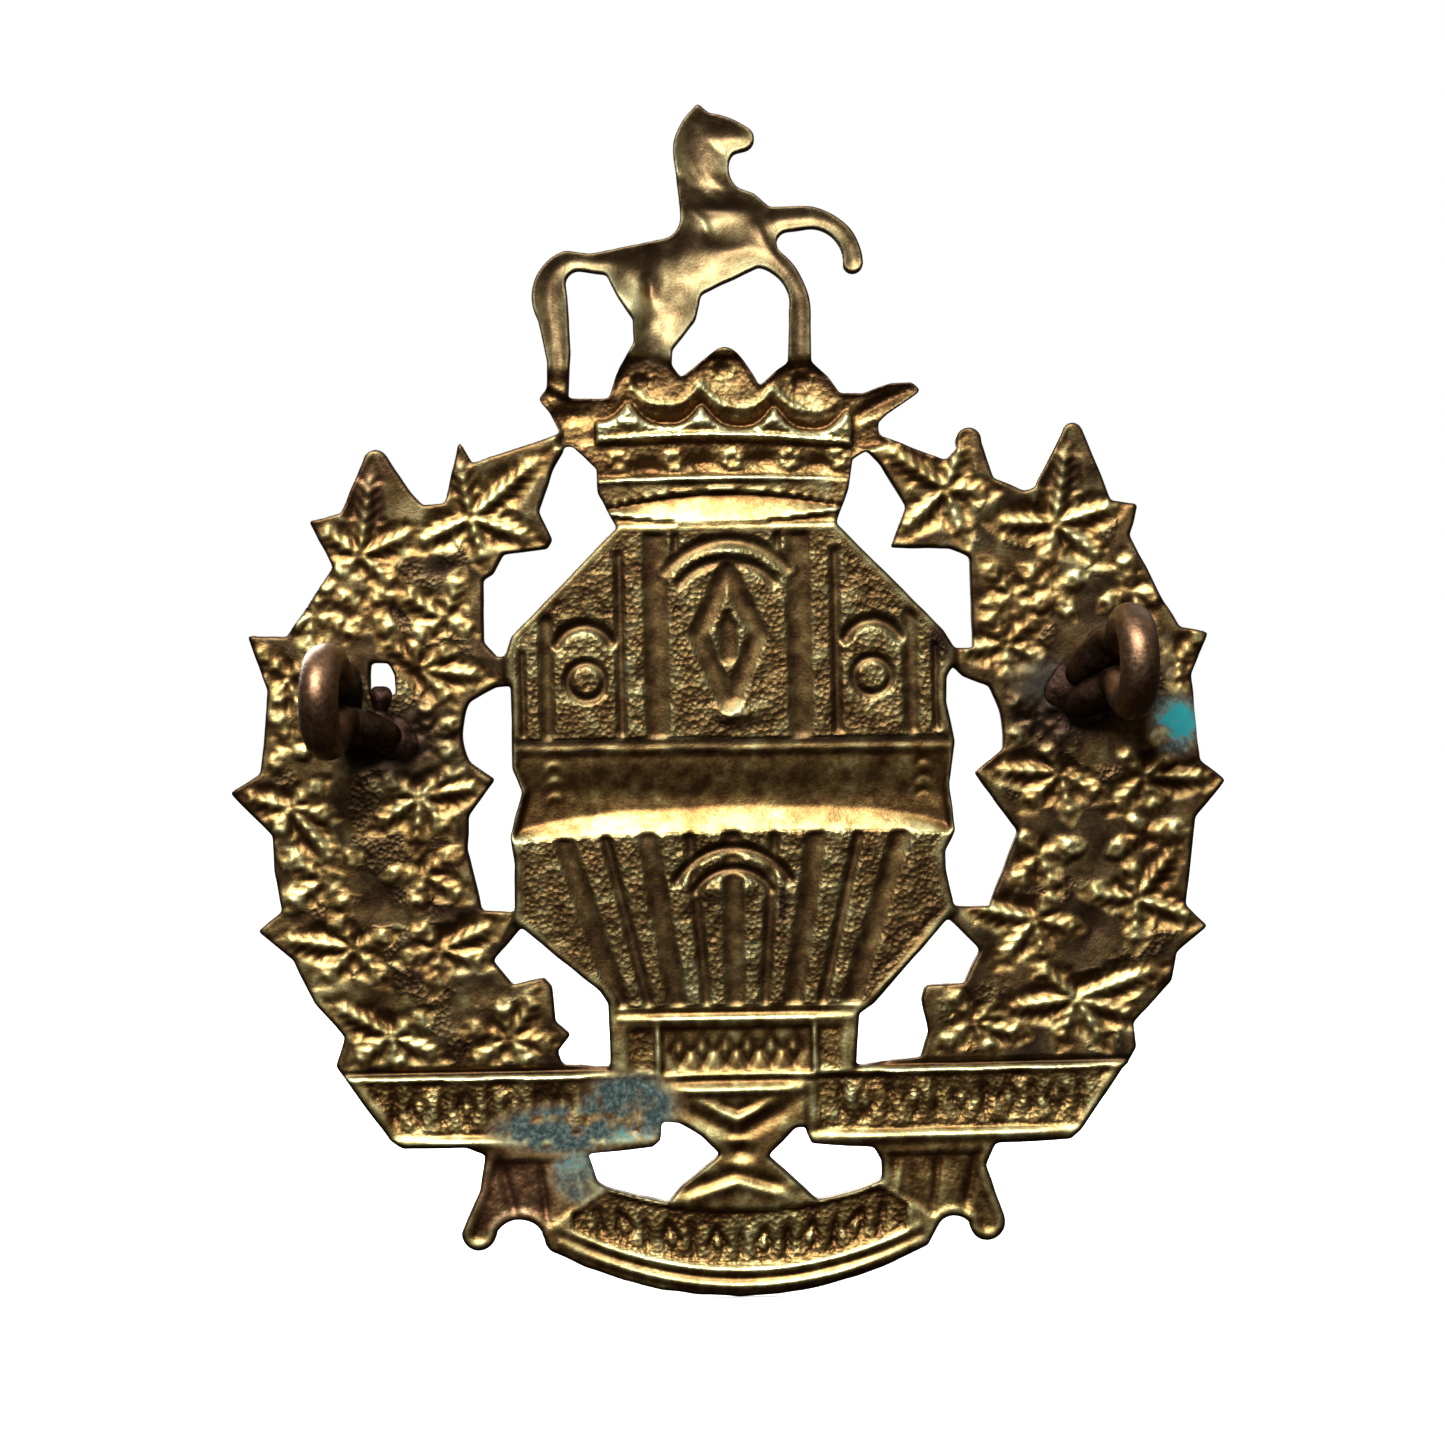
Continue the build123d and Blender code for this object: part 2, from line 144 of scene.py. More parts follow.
LEFT_SCROLL = [
    (-15.42, -14.5), (-15.0, -13.3), (-7.0, -14.6), (-4.7, -14.75), (-2.6, -15.4), (-2.95, -17.1),
    (-3.0, -17.6), (-3.3, -17.87), (-5.8, -18.1), (-5.45, -19.2), (-5.1, -19.4), (-5.1, -20.5),
    (-7.5, -21.6), Arc((-8.55, -20.55), (-9.35, -21.0)), Arc((-10.0, -21.72), (-10.75, -21.05)),
    (-10.0, -19.4), (-9.75, -18.05), (-10.5, -17.75), (-12.9, -17.75), (-13.4, -17.4), (-14.9, -15.3),
]
RIGHT_SCROLL = [
    (15.4, -14.4), (15.2, -13.3), (7.2, -14.6), (4.5, -14.9), (2.6, -15.3), (2.6, -17.4),
    (2.8, -17.87), (5.2, -18.05), (5.5, -18.6), (5.5, -19.3), (5.0, -19.5), (5.1, -20.6),
    (7.5, -21.4), Arc((8.1, -20.75), (8.8, -21.0)), Arc((9.7, -21.7), (10.2, -20.9)),
    (9.5, -18.8), (9.9, -18.0), (12.8, -17.9), (13.3, -17.4), (15.0, -14.95),
]
FOOT_SCROLL = [
    (-7.65, -21.1), (-7.35, -21.75), Arc((0.2, -23.68), (7.2, -21.85)), (7.75, -20.9),
    (5.4, -19.4), Arc((0.0, -20.25), (-5.2, -19.35)),
]
LEFT_WREATH = [
    (-6.2, 9.7), (-6.2, 9.0), (-6.6, 8.3), (-7.2, 6.7), (-6.7, 5.6), (-6.9, 5.25), (-8.6, 5.05),
    (-9.0, 4.3), (-9.4, 4.1), (-9.4, 1.7), (-8.9, 1.1), (-8.3, 1.2), (-8.3, 0.0), (-9.0, -0.05),
    (-10.0, -0.6), Arc((-10.3, -1.8), (-10.05, -2.9)), (-9.1, -3.6), (-10.15, -5.0), (-10.2, -6.3),
    (-9.7, -8.6), (-8.4, -8.7), (-8.1, -9.25), (-9.3, -10.6), (-8.6, -11.5), (-7.4, -11.25),
    (-7.05, -11.6), (-6.95, -13.0), (-6.4, -13.5), (-6.9, -14.15), (-6.7, -14.7), (-5.0, -14.7),
    (-5.0, -15.1), (-15.0, -15.1), (-15.42, -14.5), (-15.05, -13.4), (-16.2, -12.1), (-17.0, -10.4),
    (-18.35, -9.25), (-17.4, -8.5), (-17.65, -7.0), (-17.7, -5.6), (-19.3, -3.9), (-18.1, -3.2),
    (-17.75, 0.0), (-18.5, 2.15), (-17.0, 2.05), (-15.15, 4.7), (-16.05, 6.5), (-14.8, 6.75),
    (-13.9, 8.8), Arc((-13.4, 9.2), (-13.0, 8.9)), (-12.1, 7.5), (-11.6, 7.0), (-10.8, 7.1),
    (-10.2, 9.45), (-9.7, 8.6),
]
RIGHT_WREATH = [
    (5.9, 9.4), (8.5, 8.35), (9.0, 8.8), Arc((9.45, 9.57), (9.9, 9.0)), (10.35, 7.6), (11.5, 7.1),
    (11.9, 7.2), (13.0, 9.3), Arc((13.4, 9.68), (13.8, 9.4)), (14.85, 6.65), (15.9, 6.5),
    (15.55, 5.3), (16.7, 2.9), (17.4, 1.75), (18.5, 1.5), (17.8, -0.1), (18.05, -3.4), (19.05, -4.2),
    (17.85, -5.6), (17.4, -9.0), (18.25, -9.8), (17.0, -10.8), (16.8, -11.9), (15.3, -13.5),
    (15.4, -14.4), (15.0, -15.1), (4.5, -15.1), (4.6, -14.9), (7.0, -14.9), (7.4, -13.7),
    (7.15, -12.4), (7.3, -11.85), (8.8, -11.8), (9.45, -10.55), (8.2, -9.25), (8.4, -8.85),
    (9.85, -8.85), (11.0, -6.0), (9.35, -3.7), (10.5, -2.8), Arc((10.45, -1.6), (10.0, -0.4)),
    (9.0, 0.0), (8.6, 0.4), (8.4, 0.9), (8.7, 1.1), (9.4, 1.1), (9.38, 4.6), (8.6, 4.95),
    (6.3, 5.0), (6.95, 6.6), (6.0, 8.2), (5.5, 8.8),
]
LUG_HOLE = [(-13.8, 1.0), (-13.1, 0.95), (-12.85, 0.5), (-12.85, -0.25), (-13.8, -0.3)]

# The sheet's working points, from the lower left as seen from behind.
LOW = (-19.8, -24.2)
HIGH = (19.6, 22.8)
across_line = np.arange(LOW[0], HIGH[0], PITCH)
up_line = np.arange(LOW[1], HIGH[1], PITCH)
across, up = np.meshgrid(across_line, up_line)
draws = np.random.default_rng(7)


def step(x):
    """0 below 0, 1 above 1 and a smooth rise between."""
    x = np.clip(x, 0, 1)
    return x * x * (3 - 2 * x)


def blur(field, reach):
    """The field with each point averaged over its neighbours, reach in millimetres."""
    count = max(1, round(3 * reach / PITCH))
    weights = np.exp(-0.5 * (np.arange(-count, count + 1) * PITCH / reach) ** 2)
    weights /= weights.sum()
    for axis in (0, 1):
        padded = np.pad(field, [(count, count) if a == axis else (0, 0) for a in (0, 1)], "edge")
        size = field.shape[axis]
        field = sum(
            w * np.take(padded, range(k, k + size), axis) for k, w in enumerate(weights)
        )
    return field


def noise(scale):
    """Smooth random hills between about -1 and 1, scale millimetres apart."""
    columns = (across - LOW[0]) / scale
    rows = (up - LOW[1]) / scale
    hills = draws.uniform(-1, 1, (int(rows.max()) + 2, int(columns.max()) + 2))
    column, row = columns.astype(int), rows.astype(int)
    a, b = step(columns - column), step(rows - row)
    low = hills[row, column] * (1 - a) + hills[row, column + 1] * a
    high = hills[row + 1, column] * (1 - a) + hills[row + 1, column + 1] * a
    return low * (1 - b) + high * b


def bend(start, via, end):
    """Points along the circle's arc from start through via, to but not including end."""
    a, b, c = (complex(*p) for p in (start, via, end))
    w = (c - a) / (b - a)
    centre = (b - a) * (w - abs(w) ** 2) / (w - w.conjugate()) + a
    turn = np.angle((c - centre) / (a - centre))
    half = np.angle((b - centre) / (a - centre))
    if turn * half < 0 or abs(half) > abs(turn):
        turn -= math.copysign(2 * math.pi, turn)
    points = [centre + (a - centre) * np.exp(1j * turn * k / ARC_POINTS) for k in range(ARC_POINTS)]
    return [(p.real, p.imag) for p in points]


def corners(outline):
    """The outline as straight runs."""
    found = [outline[0]]
    for stretch in outline[1:]:
        if isinstance(stretch, Arc):
            found[-1:] = bend(found[-1], stretch.via, stretch.end)
            found.append(stretch.end)
        else:
            found.append(stretch)
    return np.array(found)


def within(outline):
    """How far each working point is inside the outline; negative outside, -FAR far away."""
    points = corners(outline)
    low, high = points.min(0) - FAR, points.max(0) + FAR
    rows = (up_line > low[1]) & (up_line < high[1])
    columns = (across_line > low[0]) & (across_line < high[0])
    x, y = across[np.ix_(rows, columns)], up[np.ix_(rows, columns)]
    nearest = np.full(x.shape, FAR)
    inside = np.zeros(x.shape, bool)
    for (ax, ay), (bx, by) in zip(points, np.roll(points, -1, 0)):
        dx, dy = bx - ax, by - ay
        along = np.clip(((x - ax) * dx + (y - ay) * dy) / (dx * dx + dy * dy + 1e-12), 0, 1)
        nearest = np.minimum(nearest, np.hypot(x - ax - along * dx, y - ay - along * dy))
        if dy:
            crossed = ((ay > y) != (by > y)) & (x < dx * (y - ay) / dy + ax)
            inside ^= crossed
    found = np.full(across.shape, -FAR)
    found[np.ix_(rows, columns)] = np.where(inside, nearest, -nearest)
    return found


# ---- outline
inside = np.full(across.shape, -FAR)
for form in (
    HORSE, CORONET, TABLET, LEFT_SCROLL, RIGHT_SCROLL, FOOT_SCROLL, LEFT_WREATH, RIGHT_WREATH
):
    inside = np.maximum(inside, within(form))
inside = np.minimum(inside, -within(LUG_HOLE))
inside = blur(inside, SOFTEN) + 0.02 * noise(0.6)

depth = np.zeros(across.shape)
matted = np.zeros(across.shape)


def line_distance(points):
    """Distance from a run of straight lines, and how far along it from 0 to 1 the nearest is."""
    best = np.full(across.shape, 99.0)
    where = np.zeros(across.shape)
    steps = len(points) - 1
    for k, ((ax, ay), (bx, by)) in enumerate(zip(points, points[1:])):
        dx, dy = bx - ax, by - ay
        along = np.clip(((across - ax) * dx + (up - ay) * dy) / (dx * dx + dy * dy), 0, 1)
        far = np.hypot(across - ax - along * dx, up - ay - along * dy)
        where = np.where(far < best, (k + along) / steps, where)
        best = np.minimum(best, far)
    return best, where


def cover(share, field, matting=0.0):
    """Puts another relief over what is there, wherever share is 1."""
    global depth, matted
    depth = depth * (1 - share) + field * share
    matted = matted * (1 - share) + matting * share


def dent(middle, radii, deep):
    """A soft round hollow, or a hump if deep is negative."""
    global depth
    far = ((across - middle[0]) / radii[0]) ** 2 + ((up - middle[1]) / radii[1]) ** 2
    depth = depth + DENT_STRENGTH * deep * np.exp(-far)


def groove(points, half, deep):
    """A narrow rounded channel, or a ridge if deep is negative, thinning out at its ends."""
    global depth
    far, where = line_distance(points)
    ends = 0.35 + 0.65 * step(4 * where) * step(4 * (1 - where))
    depth = depth + LINE_STRENGTH * deep * ends * np.exp(-((far / half) ** 2))


def curve(function, low, high, count=24):
    """Points of up = function(across) from low to high."""
    return [(x, function(x)) for x in np.linspace(low, high, count)]


def ring(centre, radius, low=0, high=360):
    """Points round a circle between two angles in degrees."""
    angles = np.radians(np.linspace(low, high, 20))
    return [(centre[0] + radius * math.cos(a), centre[1] + radius * math.sin(a)) for a in angles]


# ---- wreath of maple leaves: each leaf's middle and the tips of its lobes. Where leaves overlap,
# a later one lies over an earlier one.
LEFT_LEAVES = [
    ((-10.9, 2.6), [(-10.1, 4.6), (-9.5, 2.0), (-12.4, 1.7), (-12.9, 3.9)]),
    ((-16.0, 2.9), [(-15.2, 4.4), (-16.9, 2.2), (-14.4, 2.2), (-16.2, 0.9)]),
    ((-17.0, 0.5), [(-18.5, 1.9), (-17.5, -0.9), (-15.6, 1.1), (-16.2, -1.6)]),
    ((-16.9, -2.2), [(-17.6, -0.6), (-17.9, -3.2), (-16.0, -2.6), (-15.9, -0.9)]),
    ((-11.6, -2.0), [(-10.3, -1.3), (-10.4, -2.8), (-13.0, -2.7), (-11.7, -0.3)]),
    ((-11.9, 0.7), [(-8.9, 0.3), (-10.4, 1.6), (-13.6, 2.2), (-12.3, 2.0), (-10.4, -0.8)]),
    ((-13.9, 3.0), [(-12.6, 4.3), (-15.2, 3.7), (-14.8, 1.7), (-12.6, 1.9)]),
    ((-14.1, 5.1), [(-13.5, 9.0), (-16.0, 6.4), (-15.3, 4.2), (-12.4, 3.7), (-11.5, 6.2)]),
    ((-9.8, 6.5), [(-10.3, 9.2), (-6.5, 9.2), (-6.9, 5.4), (-9.2, 4.3), (-12.4, 5.3)]),
    ((-15.7, -7.3), [(-17.5, -6.2), (-17.5, -8.5), (-14.7, -8.7), (-14.2, -6.2)]),
    ((-11.9, -7.2), [(-10.3, -6.2), (-10.0, -8.3), (-12.3, -8.8), (-13.6, -7.2)]),
    ((-17.0, -4.5), [(-19.2, -4.0), (-17.6, -5.8), (-14.9, -7.2), (-15.0, -5.0), (-15.4, -3.4)]),
    ((-12.0, -4.2), [
        (-9.2, -3.8), (-10.3, -3.0), (-13.8, -3.3), (-14.1, -5.6), (-12.2, -6.6), (-10.7, -5.9),
    ]),
    ((-14.6, -10.0), [(-18.1, -9.5), (-16.2, -11.5), (-13.2, -11.6), (-12.9, -9.4), (-15.6, -8.4)]),
    ((-11.3, -10.1), [(-8.7, -9.0), (-9.2, -10.8), (-11.7, -12.0), (-13.2, -10.5), (-12.4, -8.9)]),
    ((-13.3, -13.4), [(-15.9, -11.9), (-15.0, -14.6), (-12.8, -14.9), (-11.0, -14.4), (-11.6, -12.4)]),
    ((-8.7, -13.6), [
        (-7.4, -11.6), (-6.6, -13.8), (-7.7, -14.8), (-10.6, -14.7), (-10.7, -13.1), (-9.0, -11.9),
    ]),
]
RIGHT_LEAVES = [
    ((11.0, 3.0), [(9.7, 4.6), (9.5, 2.3), (12.4, 1.9), (12.7, 4.0)]),
    ((15.6, 3.2), [(15.2, 4.8), (16.9, 2.6), (14.2, 2.4), (16.2, 1.0)]),
    ((17.3, 0.4), [(18.6, 1.8), (17.4, -1.5), (15.9, 1.3)]),
    ((17.0, -2.2), [(17.7, -0.9), (17.9, -3.2), (15.9, -2.8)]),
    ((11.9, -1.6), [(10.6, -0.8), (10.6, -2.8), (13.2, -2.9), (13.3, -0.6)]),
    ((10.7, 1.2), [(8.4, 0.9), (10.7, -0.7), (12.7, 0.3), (12.4, 2.6), (9.7, 2.7)]),
    ((12.6, 3.2), [(11.2, 4.2), (13.9, 3.9), (13.4, 2.0), (11.6, 2.3)]),
    ((12.7, 5.8), [(13.3, 9.5), (15.7, 6.6), (14.9, 4.1), (12.2, 3.8), (9.9, 5.9)]),
    ((8.5, 7.2), [(9.35, 9.5), (5.7, 9.2), (6.3, 5.2), (9.3, 4.9), (10.6, 7.1)]),
    ((11.8, -6.9), [(10.9, -5.9), (10.6, -8.4), (12.6, -8.7), (13.6, -6.6)]),
    ((15.9, -6.2), [(17.6, -6.0), (14.4, -7.0), (15.2, -5.4)]),
    ((15.9, -4.0), [(19.0, -4.1), (17.3, -3.2), (16.5, -5.7), (14.4, -5.5), (14.9, -2.8)]),
    ((12.7, -3.8), [(9.6, -3.6), (12.0, -2.5), (11.0, -5.3), (13.1, -5.9), (14.6, -4.9)]),
    ((15.5, -8.7), [(18.3, -9.7), (17.4, -6.4), (15.4, -10.9), (13.2, -8.4), (15.2, -6.9)]),
    ((11.6, -9.4), [(8.6, -8.8), (12.6, -8.2), (9.9, -11.4), (12.0, -11.5), (13.6, -9.9)]),
    ((9.1, -13.3), [(8.1, -11.8), (7.6, -14.5), (10.0, -14.7), (11.4, -14.0), (10.6, -12.6)]),
    ((13.1, -12.5), [
        (16.9, -11.2), (15.9, -13.4), (14.4, -14.6), (12.3, -14.6), (9.9, -12.9), (11.2, -10.9),
    ]),
]
leaves = np.zeros(across.shape)


def leaf(middle, tips):
    """A maple leaf seen from behind: a dished web with a broad rib standing up in every lobe."""
    global leaves
    edge = np.full(across.shape, -2.0)
    ribs = np.zeros(across.shape)
    veins = np.zeros(across.shape)
    for tip in tips:
        length = math.dist(tip, middle)
        ux, uy = (tip[0] - middle[0]) / length, (tip[1] - middle[1]) / length
        along = ((across - middle[0]) * ux + (up - middle[1]) * uy) / length
        aside = np.abs((up - middle[1]) * ux - (across - middle[0]) * uy)
        narrow = np.clip(1.04 - along, 0, 1) ** 0.75
        teeth = 1 - 0.22 * np.mod(2.6 * along + 0.1, 1)
        width = min(0.42 * length, 1.15) * narrow * (0.75 + 0.9 * np.clip(along, 0, 1)) * teeth
        lobe = np.where((along > -0.1) & (along < 1.04), width - aside, -2.0)
        on_lobe = lobe > edge
        edge = np.maximum(edge, lobe)
        fade = step(6 * along + 0.5) * step(2.5 * (1.02 - along))
        rib_half = RIB_HALF * (0.75 + 0.5 * np.sin(math.pi * np.clip(along, 0, 1)))
        ribs = np.maximum(ribs, fade * np.exp(-((aside / rib_half) ** 2)))
        chevron = np.cos((along * length - 1.1 * aside) * 2 * math.pi / VEIN_APART)
        veins = np.where(on_lobe, chevron * fade, veins)
    place = step((edge + 0.06) / 0.14)
    longest = max(math.dist(tip, middle) for tip in tips)
    out = np.hypot(across - middle[0], up - middle[1]) / longest
    dish = 0.26 + 0.2 * step((edge + 0.05) / 0.6) + LEAF_BOWL * np.clip(1 - out**1.5, 0, 1)
    leaves = np.maximum(leaves, place)
    cover(place, dish - RIB_HIGH * ribs - VEIN_HIGH * veins * step(edge / 0.35))


wreath = np.maximum(within(LEFT_WREATH), within(RIGHT_WREATH))
depth = 0.3 + 0.06 * noise(1.5) + 0.015 * noise(0.6)
matted = step(3 * blur(noise(2.0), 0.4) + 1.5 * noise(0.7)) * step((wreath - 0.4) / 0.3)
for middle, radii in (
    ((-13.2, -2.0), (0.8, 0.8)), ((-11.9, -7.9), (0.7, 1.0)), ((-13.6, -8.0), (0.6, 0.9)),
    ((-16.0, -7.0), (0.8, 0.8)), ((-12.9, 2.9), (0.7, 0.7)),
    ((12.5, -6.6), (0.8, 0.8)), ((14.3, -7.1), (0.6, 0.9)), ((12.2, 3.2), (0.8, 0.6)),
    ((13.8, -9.7), (0.6, 0.7)),
):
    dent(middle, radii, 0.15)
for middle, tips in LEFT_LEAVES + RIGHT_LEAVES:
    leaf(middle, tips)

# ---- horse: a soft hollow that is deepest down the middle of each part
horse = within(HORSE)
swell = np.clip(horse / 1.1, 0, 1)
cover(step((up - 11.6) / 0.6) * (horse > -0.5), blur(0.6 * swell * (2 - swell), 0.17))
dent((-0.2, 18.15), (1.2, 0.3), 0.22)
dent((-0.4, 17.3), (0.5, 0.4), -0.12)
dent((-3.3, 14.5), (0.5, 0.7), -0.32)
dent((-2.6, 15.4), (0.28, 0.9), 0.3)
dent((-2.5, 13.5), (0.4, 0.5), -0.24)
dent((0.3, 16.6), (1.1, 0.35), 0.2)
groove([(-1.7, 19.75), (-0.9, 19.1), (0.0, 18.5)], 0.24, -0.32)
groove([(-1.1, 19.9), (-0.5, 19.2), (0.3, 18.7)], 0.15, -0.2)
groove([(-1.2, 18.3), (-0.6, 17.7), (-0.4, 17.0)], 0.14, -0.28)
groove([(-3.0, 15.9), (-2.75, 15.3), (-2.8, 14.6)], 0.2, 0.4)
groove([(-0.4, 20.9), (0.2, 20.2)], 0.14, -0.16)
groove([(1.2, 17.9), (1.7, 17.0), (2.4, 15.9)], 0.14, 0.22)
groove([(-6.45, 15.4), (-6.35, 13.4), (-6.4, 11.6)], 0.1, -0.1)

# ---- coronet
coronet = within(CORONET)
crown = step((coronet + 0.12) / 0.24)


def arches(x):
    """The hanging curves between the coronet's peaks."""
    return 9.85 - 0.06 * x + 0.85 * (1 - abs(math.sin(math.pi * (x + 0.85) / 2.8))) ** 1.5


bend_up = 0.012 * across**2 + 0.03 * across
points_band = step((up - 9.35 + bend_up) / 0.12)
gem_band = step((up - 7.85 + 0.5 * bend_up) / 0.12) * (1 - points_band)
cover(crown * (up < 12.6), 0.22 + 0.3 * gem_band + 0.42 * points_band, 0.6)
under_arch = np.array([arches(x) for x in across_line])[None, :] - up
cover(crown * points_band * step(under_arch / 0.15) * (np.abs(across) < 4.9), 0.24, 0.8)
groove(curve(arches, -4.7, 4.9, 70), 0.15, 0.45)
groove(curve(lambda x: arches(x) + 0.7, -4.4, 4.6, 70), 0.16, -0.3)
groove(curve(lambda x: 9.42 - 0.012 * x * x - 0.03 * x, -5.3, 4.9), 0.12, -0.35)
groove(curve(lambda x: 9.68 - 0.012 * x * x - 0.03 * x, -5.0, 4.8), 0.1, 0.25)
groove(curve(lambda x: 7.8 - 0.008 * x * x - 0.02 * x, -4.8, 4.7), 0.16, -0.15)
for gem in (-3.0, -0.9, 1.45, 3.55):
    low = 8.35 - 0.04 * abs(gem - 0.4) ** 1.5
    dent((gem, low + 0.15), (0.6, 0.3), 0.34)
for pearl in (-4.1, -1.95, 0.3, 2.5, 4.4):
    for k in range(6):
        turn = 1.05 * k + pearl
        dent((pearl + 0.3 * math.cos(turn), 8.5 + 0.3 * math.sin(turn)), (0.13, 0.13), -0.16)
for dome, top in ((-3.2, 11.6), (0.0, 12.0), (3.0, 11.5)):
    dent((dome, top), (0.75, 0.55), 0.35)
    for k in range(7):
        turn = 0.9 * k + dome
        dent((dome + 0.42 * math.cos(turn), top + 0.35 * math.sin(turn)), (0.14, 0.14), -0.16)
for cusp in (-3.65, -0.85, 1.95):
    for dx, dy in ((0, -0.45), (-0.25, -0.75), (0.25, -0.75), (0, -0.8)):
        dent((cusp + dx, 10.8 + dy), (0.1, 0.1), -0.18)
groove([(4.9, 10.0), (6.0, 10.6), (7.3, 11.1)], 0.22, 0.35)
groove([(5.0, 9.6), (6.2, 10.2), (7.4, 10.95)], 0.16, -0.2)
groove([(-4.9, 10.4), (-6.4, 10.3)], 0.3, 0.3)
dent((-6.5, 10.9), (0.35, 0.35), -0.2)

# The coronet's lower rim is a long lens with a steep upper wall and a broad bright lower one.
cover(crown * step((7.8 - up) / 0.15), 0.34, 0.4)
rim_low = 6.06 + 0.022 * (across + 0.15) ** 2
rim_high = 7.4 - 0.033 * (across + 0.15) ** 2
rim_share = (up - rim_low) / np.maximum(rim_high - rim_low, 0.05)
rim = np.clip(rim_share / 0.88, 0, 1) * step((1.0 - rim_share) / 0.12)
cover(step((rim_high - rim_low) / 0.2) * (rim_share > 0) * (rim_share < 1), 0.1 + 0.46 * rim)

# ---- tablet
tablet = within(TABLET)
cover(step((tablet + 0.12) / 0.2), 0.12, 0.0)
ground = step((tablet - 0.3) / 0.12) * step((6.05 - up) / 0.1) * step((up + 12.5) / 0.1)
cover(ground, 0.16, 1.0)


def bar(points, half, deep=0.13, start=1):
    """A smooth recessed band on the tablet's matted ground. It begins start times as wide."""
    far, where = line_distance(points)
    wide = half * (start + (1 - start) * step(where * 3))
    share = step((wide + 0.08 - far) / 0.2) * ground
    side = np.clip((wide - far) / wide, 0, 1)
    cover(share, 0.16 + deep * side * (2 - side))


for side in (-1, 1):
    bar([(side * 2.75, 5.7), (side * 2.75, -1.9)], 0.5)
    bar([(side * 1.95, 5.8), (side * 1.95, 4.6)], 0.16)
    bar([(side * 4.15, 4.9), (side * 4.15, -1.9)], 0.22)
    bar([(side * 7.0, 2.4), (side * 7.0, -1.9)], 0.32)
    bar([(side * 7.95, 1.2), (side * 7.95, -1.9)], 0.16)
    bar(ring((side * 5.5, 0.1), 0.72), 0.2)
    bar(ring((side * 5.55, 1.1), 1.15, 25, 155), 0.28, 0.22)
for radius, half in ((2.35, 0.25), (3.1, 0.3)):
    bar(ring((0, 2.3), radius, 40, 140), half)
bar([(0, 4.3), (1.15, 1.8), (0, -0.9), (-1.15, 1.8), (0, 4.3)], 0.4)
bar([(0, 2.6), (0, 1.0)], 0.4, start=0.3)
for middle, radii in (
    ((0.2, -1.25), (0.65, 0.35)), ((0.2, 4.9), (0.7, 0.3)), ((0, -8.0), (0.8, 0.35)),
):
    dent(middle, radii, -0.75 * radii[1])
for k in range(-4, 5):
    bar([(1.62 * k, -6.0), (1.12 * k, -12.3)], 0.42 if k % 2 == 0 else 0.24)
for radius in (1.7, 2.5):
    bar(ring((0, -8.9), radius, 30, 150), 0.24, 0.2)

# The belt: a fine bright line under a dark groove, then a hollow with a broad lower wall.
belt_top = -2.15 - 0.01 * across
belt_low = -5.8 - 0.003 * across**2 + 0.05 * noise(1.2)
wall_high = belt_low + 0.15 + 0.85 * np.sqrt(np.clip(1 - (across / 8.5) ** 2, 0, 1))
drop = belt_top - up
belt = 0.03 * step(drop / 0.14) * step((0.42 + 0.03 * noise(1.0) - drop) / 0.12)
belt = belt + 0.12 * step((drop - 0.45) / 0.3) + 0.3 * step((drop - 0.7) / 1.7)
belt = belt * np.clip((up - belt_low) / (wall_high - belt_low), 0, 1)
cover(step((tablet - 0.05) / 0.25) * (drop > 0) * (up > belt_low), 0.16 + belt)
for x in np.arange(-7.2, 7.5, 1.9):
    groove([(x, -2.6 - 0.01 * x), (x + 1.1, -2.6 - 0.01 * x)], 0.06, -0.06)
for x, side in ((-6.8, 1), (7.4, -1)):
    for low in (-3.4, -4.0, -4.6):
        groove(ring((x, low), 0.28, 20, 200), 0.12, -0.16 * side)
groove([(8.2, -9.4), (5.2, -12.3)], 0.11, -0.2)
groove([(8.4, -8.6), (5.0, -11.8)], 0.09, 0.12)
groove([(-8.2, -9.3), (-5.0, -12.0)], 0.09, -0.12)
groove([(6.95, -5.9), (6.9, -7.8)], 0.05, -0.08)
groove([(-4.5, -12.7), (4.4, -12.75)], 0.14, 0.35)
groove([(-4.5, -12.95), (4.4, -13.0)], 0.08, -0.2)

# ---- name panel and the cloth folded under it
panel = within([(-4.5, -13.0), (4.4, -13.0), (4.3, -15.35), (-4.5, -15.35)])
cover(step((panel - 0.2) / 0.15) * (np.abs(across) < 2.9), 0.3)
cover(step((panel - 0.25) / 0.15) * (np.abs(across) > 3.1), 0.24, 0.7)
for x in np.arange(-2.2, 2.3, 0.88):
    groove([(x, -13.6), (x + 0.3, -14.2), (x, -14.8), (x - 0.3, -14.2), (x, -13.6)], 0.13, 0.3)
for x in (-3.0, 3.0):
    groove([(x, -13.1), (x, -15.2)], 0.12, -0.25)
groove([(-2.9, -15.35), (2.7, -15.35)], 0.17, 0.4)
groove([(-2.7, -15.75), (2.4, -15.75)], 0.14, -0.3)
groove([(-2.6, -16.1), (0, -17.5), (2.4, -16.1)], 0.3, 0.3)
groove([(-1.6, -16.1), (0, -16.9), (1.5, -16.1)], 0.2, -0.24)
groove([(-0.9, -16.2), (0, -16.5), (0.9, -16.2)], 0.16, 0.2)
dent((0, -18.1), (0.5, 0.35), 0.35)
dent((0, -17.7), (0.35, 0.2), -0.2)
groove([(-2.6, -19.7), (-0.2, -18.9), (2.6, -19.7)], 0.24, 0.26)
groove([(-1.9, -19.9), (0, -19.3), (1.9, -19.9)], 0.18, -0.2)
dent((1.9, -19.5), (0.4, 0.25), -0.14)

